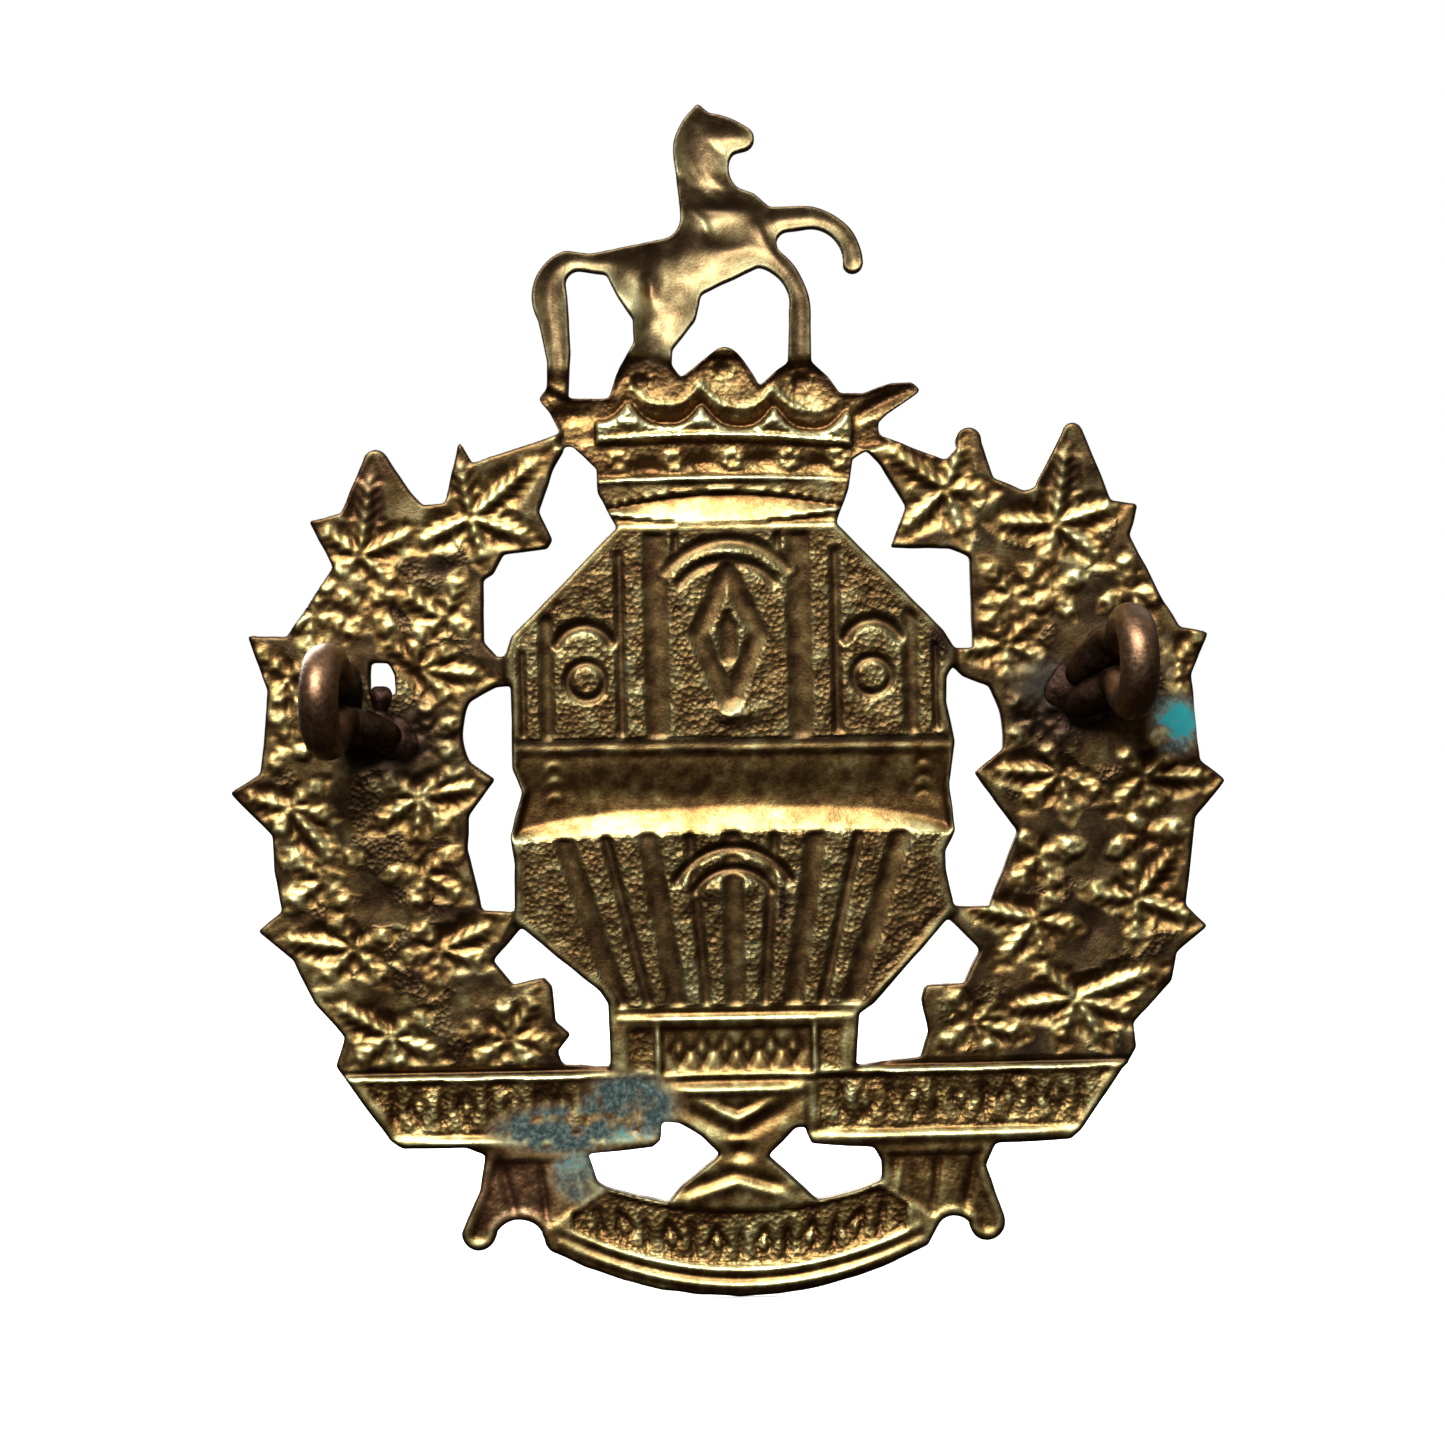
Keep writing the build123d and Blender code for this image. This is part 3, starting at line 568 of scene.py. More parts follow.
# ---- scrolls
SCROLL_TOP = -14.85
left_band = within([(-14.6, -15.05), (-3.3, -15.1), (-3.3, -17.35), (-13.0, -17.25)])
right_band = within([(3.0, -15.1), (14.5, -15.05), (13.0, -17.35), (3.0, -17.35)])
scrolls = np.maximum(within(LEFT_SCROLL), within(RIGHT_SCROLL))
cover(step((scrolls + 0.12) / 0.2) * (up < SCROLL_TOP) * (tablet < 0), 0.16)
bands = np.maximum(left_band, right_band)
cover(step((bands + 0.05) / 0.2), 0.3 + 0.1 * noise(0.9), 1.0)
for start, end in (((-15.1, -14.88), (-4.9, -14.88)), ((4.6, -14.92), (15.1, -14.88))):
    groove([start, end], 0.11, 0.6)
for start, end in (((-14.8, -15.1), (-3.3, -15.15)), ((2.9, -15.15), (14.6, -15.1))):
    groove([start, end], 0.09, -0.3)
for start, end in (((-13.2, -17.55), (-3.1, -17.65)), ((2.8, -17.65), (13.1, -17.6))):
    groove([start, end], 0.16, -0.25)
    groove([(start[0], start[1] + 0.3), (end[0], end[1] + 0.3)], 0.1, 0.25)
for k in range(11):
    for side in (-1, 1):
        x = side * (4.0 + 0.92 * k)
        if k % 2:
            diamond = [(x, -15.6), (x + 0.3, -16.25), (x, -16.9), (x - 0.3, -16.25), (x, -15.6)]
            groove(diamond, 0.14, 0.3)
        else:
            groove([(x, -15.5), (x, -17.0)], 0.18, 0.32)
tails = step((scrolls - 0.3) / 0.15) * (up < -18.3)
cover(tails, 0.26 + 0.06 * noise(0.8), 0.3)
for side in (-1, 1):
    groove([(side * 9.2, -18.3), (side * 8.6, -20.6)], 0.2, 0.35)
    groove([(side * 7.7, -18.3), (side * 7.4, -20.6)], 0.14, 0.3)
    groove([(side * 6.3, -18.3), (side * 6.0, -20.2)], 0.14, -0.2)


def foot(x, rise):
    """The foot scroll's curve, rise above its lower edge."""
    return -23.68 + rise + (x - 0.2) ** 2 / 28.5


bow = within(FOOT_SCROLL)
cover(step((bow + 0.1) / 0.2), 0.14)
top_edge = -20.1 + 0.025 * across**2
foot_band = step((up - foot(across, 1.1)) / 0.15) * step((top_edge - up) / 0.15)
cover(foot_band * (bow > 0.15) * (np.abs(across) < 6.4), 0.32, 1.0)
for k in range(-6, 7):
    x = 0.88 * k
    low = foot(x, 1.35)
    slant = 0.06 * x
    if k % 2:
        middle = low + 0.6
        groove([
            (x, low), (x + 0.3, middle), (x + slant, low + 1.2), (x - 0.3, middle), (x, low)
        ], 0.12, 0.36)
    else:
        groove([(x, low), (x + slant, low + 1.3)], 0.16, 0.4)
for rise, deep in ((1.0, -0.22), (0.72, 0.22), (0.42, -0.25), (0.15, 0.15)):
    groove(curve(lambda x: foot(x, rise), -6.9, 6.9, 40), 0.13, deep)

# ---- matted ground, dents and a soft wave all over
depth = blur(depth, 0.05)
depth = depth - STIPPLE_DEPTH * matted * blur(noise(1.6 * STIPPLE), 0.08)
depth = depth + 0.008 * noise(0.35) + 0.025 * noise(0.9)


# ---- mesh of the sheet
def struck_sheet():
    """One side of the sheet, whose cells are cut where the outline crosses them.

    Gives each point's place, depth and distance from the outline, then the whole cells, the cut
    ones, and the pairs of points that the outline runs between.
    """
    rows, columns = inside.shape
    solid = inside > 0
    number = np.full(inside.shape, -1)
    number[solid] = np.arange(solid.sum())
    spots = list(zip(across[solid], up[solid], depth[solid], inside[solid]))
    cut = {}

    def crossing(a, b):
        """The point where the outline crosses the cell side from a to b."""
        key = (a, b) if a < b else (b, a)
        if key not in cut:
            first, last = key
            share = inside[first] / (inside[first] - inside[last])
            cut[key] = len(spots)
            spots.append(tuple(
                grid[first] * (1 - share) + grid[last] * share for grid in (across, up, depth)
            ) + (0.0,))
        return cut[key]

    whole = solid[:-1, :-1] & solid[1:, :-1] & solid[:-1, 1:] & solid[1:, 1:]
    some = (solid[:-1, :-1] | solid[1:, :-1] | solid[:-1, 1:] | solid[1:, 1:]) & ~whole
    quads = np.stack(
        [number[:-1, :-1], number[:-1, 1:], number[1:, 1:], number[1:, :-1]], -1
    )[whole]
    faces = []
    rims = []
    for row, column in zip(*np.nonzero(some)):
        around = [(row, column), (row, column + 1), (row + 1, column + 1), (row + 1, column)]
        loop, cuts = [], []
        for here, following in zip(around, around[1:] + around[:1]):
            if solid[here]:
                loop.append(int(number[here]))
            if solid[here] != solid[following]:
                point = crossing(here, following)
                loop.append(point)
                cuts.append((point, bool(solid[here])))
        if len(cuts) == 2:
            faces.append(loop)
            leaving = [p for p, out in cuts if out][0]
            entering = [p for p, out in cuts if not out][0]
            rims.append((leaving, entering))
        else:
            for k, (point, out) in enumerate(cuts):
                if out:
                    before = cuts[k - 1][0]
                    place = loop.index(point)
                    faces.append([before, loop[place - 1], point])
                    rims.append((point, before))
    return np.array(spots), quads, faces, rims


# The back, the front behind it, and the cut edge that joins the two.
spots, quads, faces, rims = struck_sheet()
x, z, deep, edge = spots.T
round_off = EDGE - np.sqrt(np.clip(EDGE**2 - np.clip(EDGE - edge, 0, EDGE) ** 2, 0, None))
count = len(spots)
back = np.stack([-x, -deep - round_off, z], 1)
front = np.stack([-x, -SHEET - deep + round_off, z], 1)
points = np.concatenate([back, front]) * MM
loops = [quads.ravel()]
sizes = [np.full(len(quads), 4)]
loops.append((quads[:, ::-1] + count).ravel())
sizes.append(np.full(len(quads), 4))
for face in faces:
    loops.append(np.array(face))
    loops.append(np.array(face[::-1]) + count)
    sizes.append(np.array([len(face), len(face)]))
for leaving, entering in rims:
    loops.append(np.array([entering, leaving, leaving + count, entering + count]))
    sizes.append(np.array([4]))
loops = np.concatenate(loops)
sizes = np.concatenate(sizes)


def mesh_object(name, points, loops, sizes, look, **marks):
    """A smooth-shaded mesh with a number at each point for every mark."""
    mesh = bpy.data.meshes.new(name)
    mesh.vertices.add(len(points))
    mesh.vertices.foreach_set("co", np.asarray(points, np.float32).ravel())
    mesh.loops.add(len(loops))
    mesh.loops.foreach_set("vertex_index", np.asarray(loops, np.int32))
    mesh.polygons.add(len(sizes))
    starts = np.concatenate([[0], np.cumsum(sizes)[:-1]])
    mesh.polygons.foreach_set("loop_start", starts.astype(np.int32))
    mesh.polygons.foreach_set("use_smooth", np.ones(len(sizes), bool))
    mesh.update(calc_edges=True)
    mesh.validate()
    for mark, values in marks.items():
        mesh.attributes.new(mark, "FLOAT", "POINT").data.foreach_set(
            "value", np.asarray(values, np.float32)
        )
    made = bpy.data.objects.new(name, mesh)
    bpy.context.scene.collection.objects.link(made)
    mesh.materials.append(look)
    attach(made, body)
    return made


def sample(field):
    """A field's value at every point of the sheet."""
    column = np.clip((x - LOW[0]) / PITCH, 0, field.shape[1] - 1.001)
    row = np.clip((z - LOW[1]) / PITCH, 0, field.shape[0] - 1.001)
    c, r = column.astype(int), row.astype(int)
    a, b = column - c, row - r
    low = field[r, c] * (1 - a) + field[r, c + 1] * a
    high = field[r + 1, c] * (1 - a) + field[r + 1, c + 1] * a
    return low * (1 - b) + high * b


def patches(ovals, blur_edge=0.5):
    """The strongest of some soft ovals at each working point: middle, radii and strength."""
    found = np.zeros(across.shape)
    for middle, radii, strength in ovals:
        far = np.hypot((across - middle[0]) / radii[0], (up - middle[1]) / radii[1])
        found = np.maximum(found, strength * step((1 + blur_edge - far) / (2 * blur_edge)))
    return found


# ---- marks on the back: how far it stands proud, the lean of its slopes, crust, verdigris, darkening that is mostly painted shade, and dull stretches
proud = sample(blur(depth, 0.5) - depth)
fine = sample(blur(depth, 0.12) - depth)
crust = patches([
    ((-4.2, -16.3), (1.9, 1.3), 1.0), ((-6.7, -17.1), (2.7, 0.95), 1.0),
    ((-6.1, -18.9), (1.1, 1.1), 0.9), ((17.2, -2.0), (1.0, 1.2), 1.0),
    ((12.4, -0.2), (1.5, 0.9), 0.3), ((16.9, 0.4), (0.3, 1.0), 0.4),
], 0.3)
crust = sample(crust * step(1.1 + 0.8 * noise(0.5) + 0.3 * noise(0.2)))
teal = sample(patches([
    ((-4.0, -17.4), (0.8, 0.35), 0.75), ((17.3, -1.9), (0.75, 0.7), 1.0),
    ((-6.6, -18.4), (0.8, 0.4), 0.45),
]))
# Painted shade: the sheet darkens along its cut edges.
grime_and_shade = 0.9 * (1 - step(inside / 0.25))
# Painted shade: the ground between the wreath's leaves is darkened.
between = step((wreath + 0.1) / 0.3) * (1 - leaves) * (up > -15)
grime_and_shade = np.maximum(grime_and_shade, (0.72 + 0.25 * noise(1.1)) * between)
# Painted shade: darker over the steep wall above the coronet's lens and over the domes above its
# arches.
over_lens = step((up - rim_high) / 0.1) * step((7.9 - up) / 0.2)
on_domes = step((-0.3 - under_arch) / 0.4) * step((12.0 - up) / 0.5)
grime_and_shade = np.maximum(grime_and_shade, 0.4 * crown * np.maximum(over_lens, on_domes))
# Darker over the tablet, except on the belt's broad lower wall.
on_tablet = step((tablet + 0.1) / 0.2) * step((5.9 - up) / 0.2) * step((up + 12.6) / 0.2)
off_belt = 1 - step((drop - 0.3) / 0.2) * step((up - belt_low + 0.1) / 0.2)
grime_and_shade = np.maximum(grime_and_shade, 0.5 * on_tablet * off_belt)
# Painted shade: a dark line along the little groove at the top of the belt and a broken one along the
# step under it, where the walls face down.
belt_groove = 0.8 * step((drop + 0.12) / 0.1) * step((0.34 - drop) / 0.1)
belt_line = step((drop - 0.3) / 0.05) * step((0.62 - drop) / 0.1)
belt_line = np.maximum(belt_groove, belt_line * np.clip(0.35 + 0.9 * noise(0.9), 0, 0.9))
grime_and_shade = np.maximum(grime_and_shade, belt_line * step((tablet - 0.1) / 0.2))
# Darker patches round each lug's braze, by a bar and by the tablet's edge, and painted shade on the
# uppermost lobes of the wreath, which face down, and in the horse's neck crease.
grime_and_shade = np.maximum(grime_and_shade, patches([
    ((-13.2, -2.0), (2.5, 1.8), 1.0), ((12.8, -1.1), (2.5, 2.1), 1.0), ((8.2, 1.4), (0.6, 0.9), 1.0),
    ((1.9, -8.6), (0.2, 1.2), 1.0), ((13.5, 8.3), (1.2, 1.6), 0.65), ((-13.5, 7.9), (1.2, 1.6), 0.65),
    ((-10.3, 8.9), (0.6, 0.9), 0.65), ((-0.1, 18.15), (1.3, 0.35), 0.5),
]))
stain = sample(np.clip(grime_and_shade, 0, 1))
dull = sample(0.6 * step((horse + 0.3) / 0.2) * step((up - 11.8) / 0.8))
coppery = sample(patches([((-8.8, -19.6), (1.8, 1.6), 1.0), ((-14.0, 7.6), (0.9, 1.3), 0.3)]))
dotted = sample(matted)
# Rubbed brighter where it stands proud; painted light on top of that, lighter where the sheet leans
# upward and darker where it leans down.
lean_sheen = sample(np.gradient(blur(depth, 0.07), PITCH, axis=0))
polish_and_sheen = 1.1 * proud + 2.5 * fine + 0.3 * np.clip(lean_sheen, -0.5, 0.5)
zero = np.zeros(count)


# ---- materials: brass for the sheet, copper for the wire, dark braze
def material(name, metallic=1.0, roughness=0.4):
    """A new material, with its node tree and shader."""
    made = bpy.data.materials.new(name)
    made.use_nodes = True
    tree = made.node_tree
    shader = tree.nodes["Principled BSDF"]
    shader.inputs["Metallic"].default_value = metallic
    shader.inputs["Roughness"].default_value = roughness
    return made, tree, shader


def noise_node(tree, scale, detail=4.0, rough=0.6):
    """Noise in the piece's own place, scale in hills per millimetre."""
    place = tree.nodes.new("ShaderNodeTexCoord")
    hills = tree.nodes.new("ShaderNodeTexNoise")
    hills.inputs["Scale"].default_value = scale / MM
    hills.inputs["Detail"].default_value = detail
    hills.inputs["Roughness"].default_value = rough
    tree.links.new(place.outputs["Object"], hills.inputs["Vector"])
    return hills.outputs["Fac"]


def scale_node(tree, value, factor, added=0.0):
    """value * factor + added, each of them a socket or a plain number."""
    made = tree.nodes.new("ShaderNodeMath")
    made.operation = "MULTIPLY_ADD"
    for socket, given in zip(made.inputs, (value, factor, added)):
        if isinstance(given, (int, float)):
            socket.default_value = given
        else:
            tree.links.new(given, socket)
    return made.outputs[0]


def ramp_node(tree, value, stops):
    """A value turned into a colour by stops of place and colour."""
    made = tree.nodes.new("ShaderNodeValToRGB")
    tree.links.new(value, made.inputs["Fac"])
    ramp = made.color_ramp
    while len(ramp.elements) < len(stops):
        ramp.elements.new(0.5)
    for element, (place, colour) in zip(ramp.elements, stops):
        element.position = place
        element.color = (*colour, 1)
    return made.outputs["Color"]


def mix_node(tree, share, first, second):
    """The first colour where share is 0 and the second where it is 1."""
    made = tree.nodes.new("ShaderNodeMix")
    made.data_type = "RGBA"
    tree.links.new(share, made.inputs["Factor"])
    for socket, value in ((made.inputs["A"], first), (made.inputs["B"], second)):
        if isinstance(value, tuple):
            socket.default_value = (*value, 1)
        else:
            tree.links.new(value, socket)
    return made.outputs["Result"]


def mark_node(tree, name):
    """A mark that the mesh carries at its points."""
    made = tree.nodes.new("ShaderNodeAttribute")
    made.attribute_name = name
    return made.outputs["Fac"]


def bump_node(tree, height, distance, strength=1.0):
    """Fine unevenness of the surface, distance in millimetres."""
    made = tree.nodes.new("ShaderNodeBump")
    made.inputs["Strength"].default_value = strength
    made.inputs["Distance"].default_value = distance * MM
    tree.links.new(height, made.inputs["Height"])
    return made.outputs["Normal"]


brass, tree, shader = material("aged_brass")
broad = noise_node(tree, 0.4)
middling = noise_node(tree, 1.6, 5.0)
close = noise_node(tree, 5.0)
# The tone rises with rubbed wear on the raised parts and with painted light on slopes that face up,
# and varies at random.
tone = scale_node(tree, mark_node(tree, "wear"), 0.95, -0.47)
for hills, share in ((broad, 0.6), (middling, 0.6), (close, 0.36)):
    tone = scale_node(tree, hills, share, tone)
metal = ramp_node(tree, tone, [
    (0.12, (0.09, 0.044, 0.016)), (0.34, (0.19, 0.118, 0.04)), (0.55, (0.32, 0.275, 0.12)),
    (0.8, (0.57, 0.53, 0.30)),
])
matt = ramp_node(tree, tone, [
    (0.12, (0.16, 0.112, 0.058)), (0.34, (0.27, 0.215, 0.11)), (0.6, (0.38, 0.335, 0.185)),
])
metal = mix_node(tree, mark_node(tree, "dull"), metal, matt)
# The darkened places turn a near-black brown, mostly as painted shade.
metal = mix_node(tree, mark_node(tree, "stain"), metal, (0.03, 0.018, 0.011))
metal = mix_node(tree, mark_node(tree, "coppery"), metal, (0.13, 0.055, 0.034))
tarnish = scale_node(tree, mark_node(tree, "teal"), 0.42, close)
green = ramp_node(tree, tarnish, [
    (0.30, (0.007, 0.010, 0.008)), (0.48, (0.013, 0.025, 0.024)), (0.68, (0.055, 0.072, 0.06)),
    (0.86, (0.006, 0.125, 0.135)),
])
crusted = mark_node(tree, "crust")
tree.links.new(mix_node(tree, crusted, metal, green), shader.inputs["Base Color"])
tree.links.new(scale_node(tree, crusted, -0.95, 1.0), shader.inputs["Metallic"])
rough = scale_node(tree, middling, 0.3, 0.3)
rough = scale_node(tree, crusted, 0.4, rough)
rough = scale_node(tree, mark_node(tree, "dull"), 0.1, rough)
tree.links.new(rough, shader.inputs["Roughness"])
shader.inputs["Specular IOR Level"].default_value = 0.2
place = tree.nodes.new("ShaderNodeTexCoord")
dots = tree.nodes.new("ShaderNodeTexVoronoi")
dots.inputs["Scale"].default_value = 1 / (STIPPLE * MM)
dots.inputs["Randomness"].default_value = 1.0
tree.links.new(place.outputs["Object"], dots.inputs["Vector"])
grain = noise_node(tree, 9.0, 3.0, 0.7)
pitted = scale_node(tree, dots.outputs["Distance"], mark_node(tree, "matted"))
relief = scale_node(tree, grain, 0.35, pitted)
tree.links.new(bump_node(tree, relief, 0.1, 0.45), shader.inputs["Normal"])

copper, tree, shader = material("aged_copper")
broad = noise_node(tree, 0.7)
close = noise_node(tree, 5.0)
# The copper's tone follows the lug's mark: rubbed wear out at the eye, painted shade near the plate.
tone = scale_node(tree, broad, 0.7, mark_node(tree, "wear"))
tone = scale_node(tree, close, 0.3, tone)
tree.links.new(ramp_node(tree, tone, [
    (0.35, (0.022, 0.013, 0.010)), (0.6, (0.08, 0.042, 0.024)), (0.8, (0.17, 0.095, 0.052)),
    (1.0, (0.30, 0.19, 0.11)),
]), shader.inputs["Base Color"])
tree.links.new(scale_node(tree, close, 0.3, 0.25), shader.inputs["Roughness"])
tree.links.new(bump_node(tree, close, 0.04, 0.4), shader.inputs["Normal"])

solder, tree, shader = material("dark_braze", 0.95)
close = noise_node(tree, 2.5)
tree.links.new(ramp_node(tree, close, [
    (0.35, (0.012, 0.008, 0.006)), (0.55, (0.03, 0.015, 0.010)), (0.75, (0.075, 0.037, 0.024)),
]), shader.inputs["Base Color"])
tree.links.new(scale_node(tree, close, 0.3, 0.4), shader.inputs["Roughness"])
shader.inputs["Specular IOR Level"].default_value = 0.2
tree.links.new(bump_node(tree, close, 0.12, 0.6), shader.inputs["Normal"])


# ---- plate
def both(behind, before):
    """A mark's values on the back, then on the front."""
    return np.concatenate([behind, before])


# The hollows of the back are the raised forms of the front, so the rubbed wear and the painted light
# of slopes are turned over there.
plate = mesh_object(
    "badge_plate_struck", points, loops, sizes, brass,
    wear=both(np.clip(polish_and_sheen, -0.8, 0.8), 0.12 + np.clip(-polish_and_sheen, -0.5, 0.5)),
    matted=both(dotted, dotted),
    crust=both(crust, zero),
    teal=both(teal, zero),
    stain=both(stain, zero),
    coppery=both(0.7 * coppery, zero),
    dull=both(dull, dull),
)
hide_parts("badge_plate")


# ---- lugs
# Lumps of braze: how far in from the lug, up, half width, half height up the plate, thickness.
BLOBS = {
    "left": [
        (-0.1, -0.1, 0.7, 1.6, 0.75), (0.9, -1.2, 1.1, 0.7, 0.55), (1.9, -1.5, 0.8, 0.8, 0.4),
        (1.3, 0.1, 0.42, 0.55, 0.38),
    ],
    "right": [
        (0.1, -0.1, 0.9, 1.7, 0.75), (1.0, -0.4, 1.1, 0.8, 0.5), (1.8, -0.9, 0.8, 0.9, 0.4),
        (0.9, -1.8, 0.9, 0.6, 0.4),
    ],
}


def swept(line, radius):
    """Rings of points round a smooth line in space, thinner and rounded at its two ends."""
    line = np.array(line, float)
    reach = np.concatenate([[0], np.cumsum(np.linalg.norm(np.diff(line, axis=0), axis=1))])
    places = np.linspace(0, reach[-1], WIRE_RINGS)
    run = np.stack([np.interp(places, reach, line[:, k]) for k in range(3)], 1)
    for _ in range(WIRE_SMOOTHING):
        run[1:-1] = (run[:-2] + 2 * run[1:-1] + run[2:]) / 4
    tangent = np.gradient(run, axis=0)
    tangent /= np.linalg.norm(tangent, axis=1)[:, None]
    normal = np.cross(tangent[0], (0.3, 0.5, 0.8))
    rings = []
    for centre, way, place in zip(run, tangent, places):
        normal = normal - way * (normal @ way)
        normal /= np.linalg.norm(normal)
        beside = np.cross(way, normal)
        from_end = min(place, reach[-1] - place)
        thick = radius * (0.62 + 0.38 * step(from_end / 1.5))
        thick *= max(0.05, math.sqrt(1 - max(0, 1 - from_end / 0.5) ** 2))
        for turn in np.linspace(0, 2 * math.pi, WIRE_SIDES, endpoint=False):
            worn = thick * (1 + 0.02 * math.sin(3 * turn + 1.7 * place))
            rings.append(centre + worn * (math.cos(turn) * normal + math.sin(turn) * beside))
    return np.array(rings)


def turned_foot(leg, foot):
    """Points from a leg of the eye down to the plate and along it to the foot's end."""
    return [
        (0.05 * foot.inward, leg, 0.9), (0.5 * foot.inward, leg - 0.5 * foot.down, 0.15),
        (foot.inward, leg - foot.down, -0.5),
    ]


def lug(name, side):
    """A wire eye on two legs, with its feet along the plate, lighter out at the eye and darker at the
    feet: partly rubbed wear, partly painted shade where the wire meets the plate.
    """
    opening = math.asin(LEG_SPREAD / EYE_BEND)
    upper, lower = FEET[name]
    angles = np.linspace(-2 * math.pi + opening, -opening, EYE_POINTS)
    eye = [(0, -EYE_BEND * math.sin(a), EYE_HEIGHT - EYE_BEND * math.cos(a)) for a in angles]
    low_foot = turned_foot(-FOOT_SPREAD, lower)[::-1]
    high_foot = turned_foot(FOOT_SPREAD, upper)
    if eye[0][1] > 0:
        eye.reverse()
    inward, rise, along = swept(low_foot + eye + high_foot, WIRE).T
    up_lug = np.array((side * math.sin(LEAN), math.cos(LEAN), 0))
    in_lug = np.array((-side * math.cos(LEAN), math.sin(LEAN), 0))
    found = (
        np.array((side * LUG_OUT, 0, LUG_UP[name])) + np.outer(along, up_lug)
        + np.outer(inward, in_lug) + np.outer(rise, (0, 0, 1))
    )
    # Painted shade in part: the wire darkens towards the plate and lightens out at the eye, where it
    # is also rubbed.
    wear = -0.04 + 0.3 * step((found[:, 1] - 0.8) / 3.2)
    index = np.arange(len(found)).reshape(-1, WIRE_SIDES)
    following = np.roll(index, -1, 1)
    sides = np.stack([index[:-1], following[:-1], following[1:], index[1:]], -1).reshape(-1, 4)
    if side < 0:
        sides = sides[:, ::-1]
    ends = [index[0][::-side], index[-1][::side]]
    loops = np.concatenate([sides.ravel(), *ends])
    sizes = np.concatenate([np.full(len(sides), 4), [WIRE_SIDES, WIRE_SIDES]])
    made = mesh_object("lug_wire_" + name, found * MM, loops, sizes, copper, wear=wear)
    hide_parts("lug_" + name)


def fused(points, faces):
    """Overlapping closed lumps made into one smooth skin. All in millimetres."""
    rough = bpy.data.meshes.new("lumps")
    rough.from_pydata(points, [], faces)
    lumps = bpy.data.objects.new("lumps", rough)
    bpy.context.scene.collection.objects.link(lumps)
    remesh = lumps.modifiers.new("fuse", "REMESH")
    remesh.mode = "VOXEL"
    remesh.voxel_size = BRAZE_PITCH
    smooth = lumps.modifiers.new("smooth", "SMOOTH")
    smooth.iterations = 12
    skin = lumps.evaluated_get(bpy.context.evaluated_depsgraph_get()).to_mesh()
    spots = np.array([v.co for v in skin.vertices])
    loops = np.array([v for face in skin.polygons for v in face.vertices])
    sizes = np.array([len(face.vertices) for face in skin.polygons])
    bpy.data.objects.remove(lumps)
    bpy.data.meshes.remove(rough)
    return spots, loops, sizes


def braze(name, side):
    """Lumpy braze round a lug's legs and over its feet."""
    points = []
    faces = []
    for inward, rise, wide, tall, high in BLOBS[name]:
        first = len(points)
        rings, around = 12, 24
        for k in range(rings + 1):
            polar = math.pi * (k + 0.02) / (rings + 0.04)
            for turn in np.linspace(0, 2 * math.pi, around, endpoint=False):
                ripple = 1 + 0.12 * math.sin(3 * turn + 5 * inward)
                ripple += 0.08 * math.sin(5 * polar + 4 * rise)
                points.append((
                    side * (LUG_OUT - inward - wide * ripple * math.sin(polar) * math.cos(turn)),
                    -0.3 + high * math.cos(polar),
                    LUG_UP[name] + rise + tall * ripple * math.sin(polar) * math.sin(turn),
                ))
        for k in range(rings):
            for m in range(around):
                n = (m + 1) % around
                corner = first + k * around
                faces.append((corner + m, corner + n, corner + around + n, corner + around + m))
        faces.append(tuple(range(first, first + around))[::-1])
        faces.append(tuple(range(first + rings * around, first + (rings + 1) * around)))
    spots, loops, sizes = fused(points, faces)
    made = mesh_object("braze_lump_" + name, spots * MM, loops, sizes, solder)
    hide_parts("braze_" + name)


for name, side in (("left", 1), ("right", -1)):
    lug(name, side)
    braze(name, side)

# ---- floor, light and camera. The floor glows a little, to look white, and isn't mirrored.
floor_mesh = bpy.data.meshes.new("floor")
half = FLOOR_HALF * MM
low = FLOOR_UP * MM
around = [(-half, -half, low), (half, -half, low), (half, half, low), (-half, half, low)]
floor_mesh.from_pydata(around, [], [(0, 1, 2, 3)])
floor = bpy.data.objects.new("floor", floor_mesh)
bpy.context.scene.collection.objects.link(floor)
pale, tree, shader = material("pale_floor", 0.0, 0.8)
floor.visible_glossy = False
shader.inputs["Base Color"].default_value = (0.8, 0.8, 0.8, 1)
shader.inputs["Emission Color"].default_value = (1, 1, 1, 1)
shader.inputs["Emission Strength"].default_value = 0.75
floor_mesh.materials.append(pale)


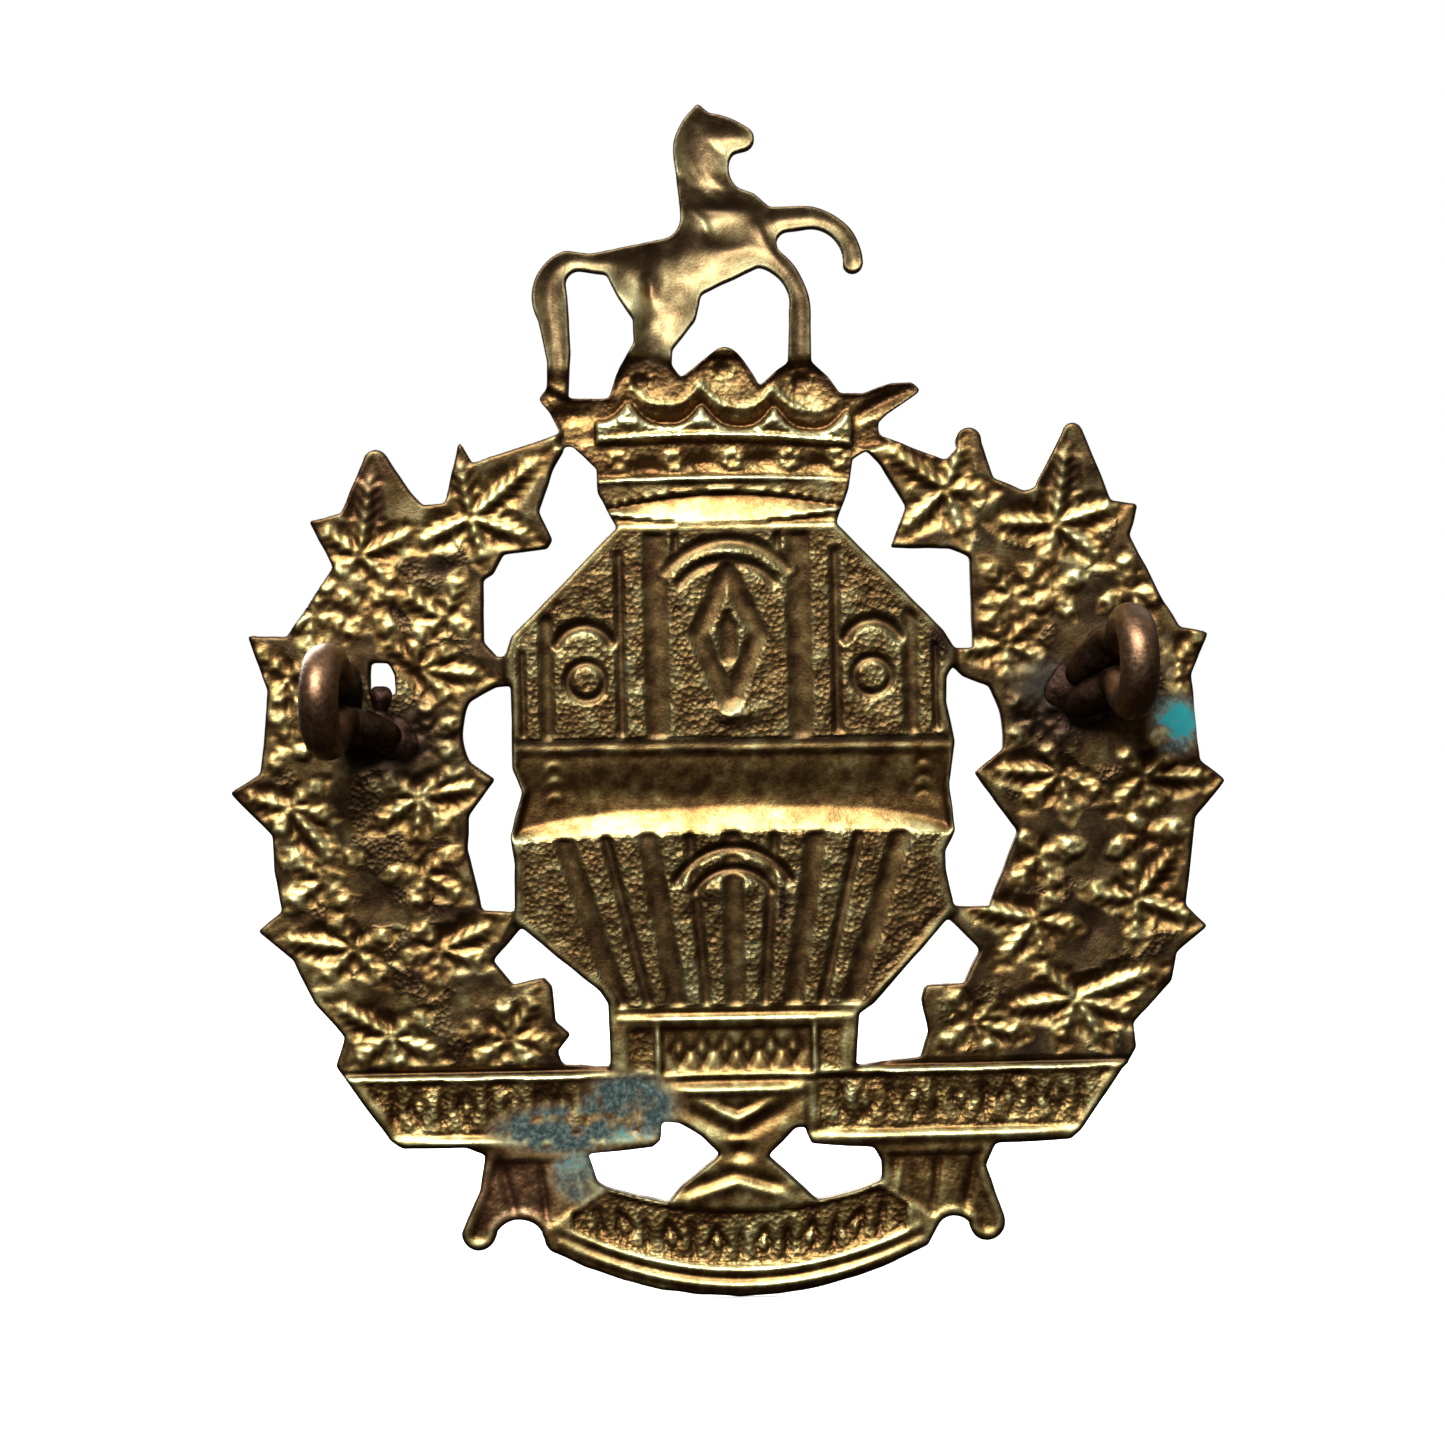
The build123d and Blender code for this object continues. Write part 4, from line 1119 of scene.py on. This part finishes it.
def softbox(name, place, aim, size, power):
    """A rectangular lamp, its place, aim and size in millimetres."""
    light = bpy.data.lights.new(name, "AREA")
    light.shape = "RECTANGLE"
    light.size, light.size_y = (s * MM for s in size)
    light.energy = power
    made = bpy.data.objects.new(name, light)
    made.location = Vector(place) * MM
    made.rotation_euler = (Vector(aim) - Vector(place)).to_track_quat("-Z", "Y").to_euler()
    bpy.context.scene.collection.objects.link(made)


softbox("back_softbox", (40, 140, 130), (0, 0, 0), (120, 70), 1.0)
softbox("front_softbox", (60, -150, 90), (0, 0, 0), (160, 120), 0.6)

# The room: white wherever the camera looks straight at it. The badge mirrors a bright ceiling,
# dim walls and a dark ground.
world = bpy.data.worlds.new("studio")
world.use_nodes = True
tree = world.node_tree
direction = tree.nodes.new("ShaderNodeSeparateXYZ")
tree.links.new(tree.nodes.new("ShaderNodeTexCoord").outputs["Generated"], direction.inputs[0])
height = scale_node(tree, direction.outputs["Z"], 0.5, 0.5)
room = ramp_node(tree, height, [
    (0.30, (0.034, 0.027, 0.021)), (0.50, (0.062, 0.051, 0.041)), (0.62, (0.10, 0.088, 0.076)),
    (0.72, (0.21, 0.20, 0.19)), (0.81, (0.70, 0.70, 0.69)), (0.93, (0.80, 0.80, 0.80)),
    (1.0, (0.35, 0.35, 0.35)),
])
seen = tree.nodes.new("ShaderNodeLightPath").outputs["Is Camera Ray"]
tree.links.new(mix_node(tree, seen, room, (1.0, 1.0, 1.0)), tree.nodes["Background"].inputs["Color"])
bpy.context.scene.world = world
bpy.context.scene.view_settings.view_transform = "Standard"

lens = bpy.data.cameras.new("camera")
lens.sensor_width = CAMERA_SENSOR
lens.lens = CAMERA_SENSOR * CAMERA_AWAY / VIEW_WIDTH
lens.clip_start = 0.01
camera = bpy.data.objects.new("camera", lens)
bpy.context.scene.collection.objects.link(camera)
away = Vector((0, 1, 0))
above = Vector((-math.sin(CAMERA_ROLL), 0, math.cos(CAMERA_ROLL)))
right = above.cross(away)
turned = Matrix((right, above, away)).transposed().to_4x4()
camera.matrix_world = Matrix.Translation(
    Vector((-CAMERA_AIM[0], CAMERA_AWAY, CAMERA_AIM[1])) * MM
) @ turned
bpy.context.scene.camera = camera
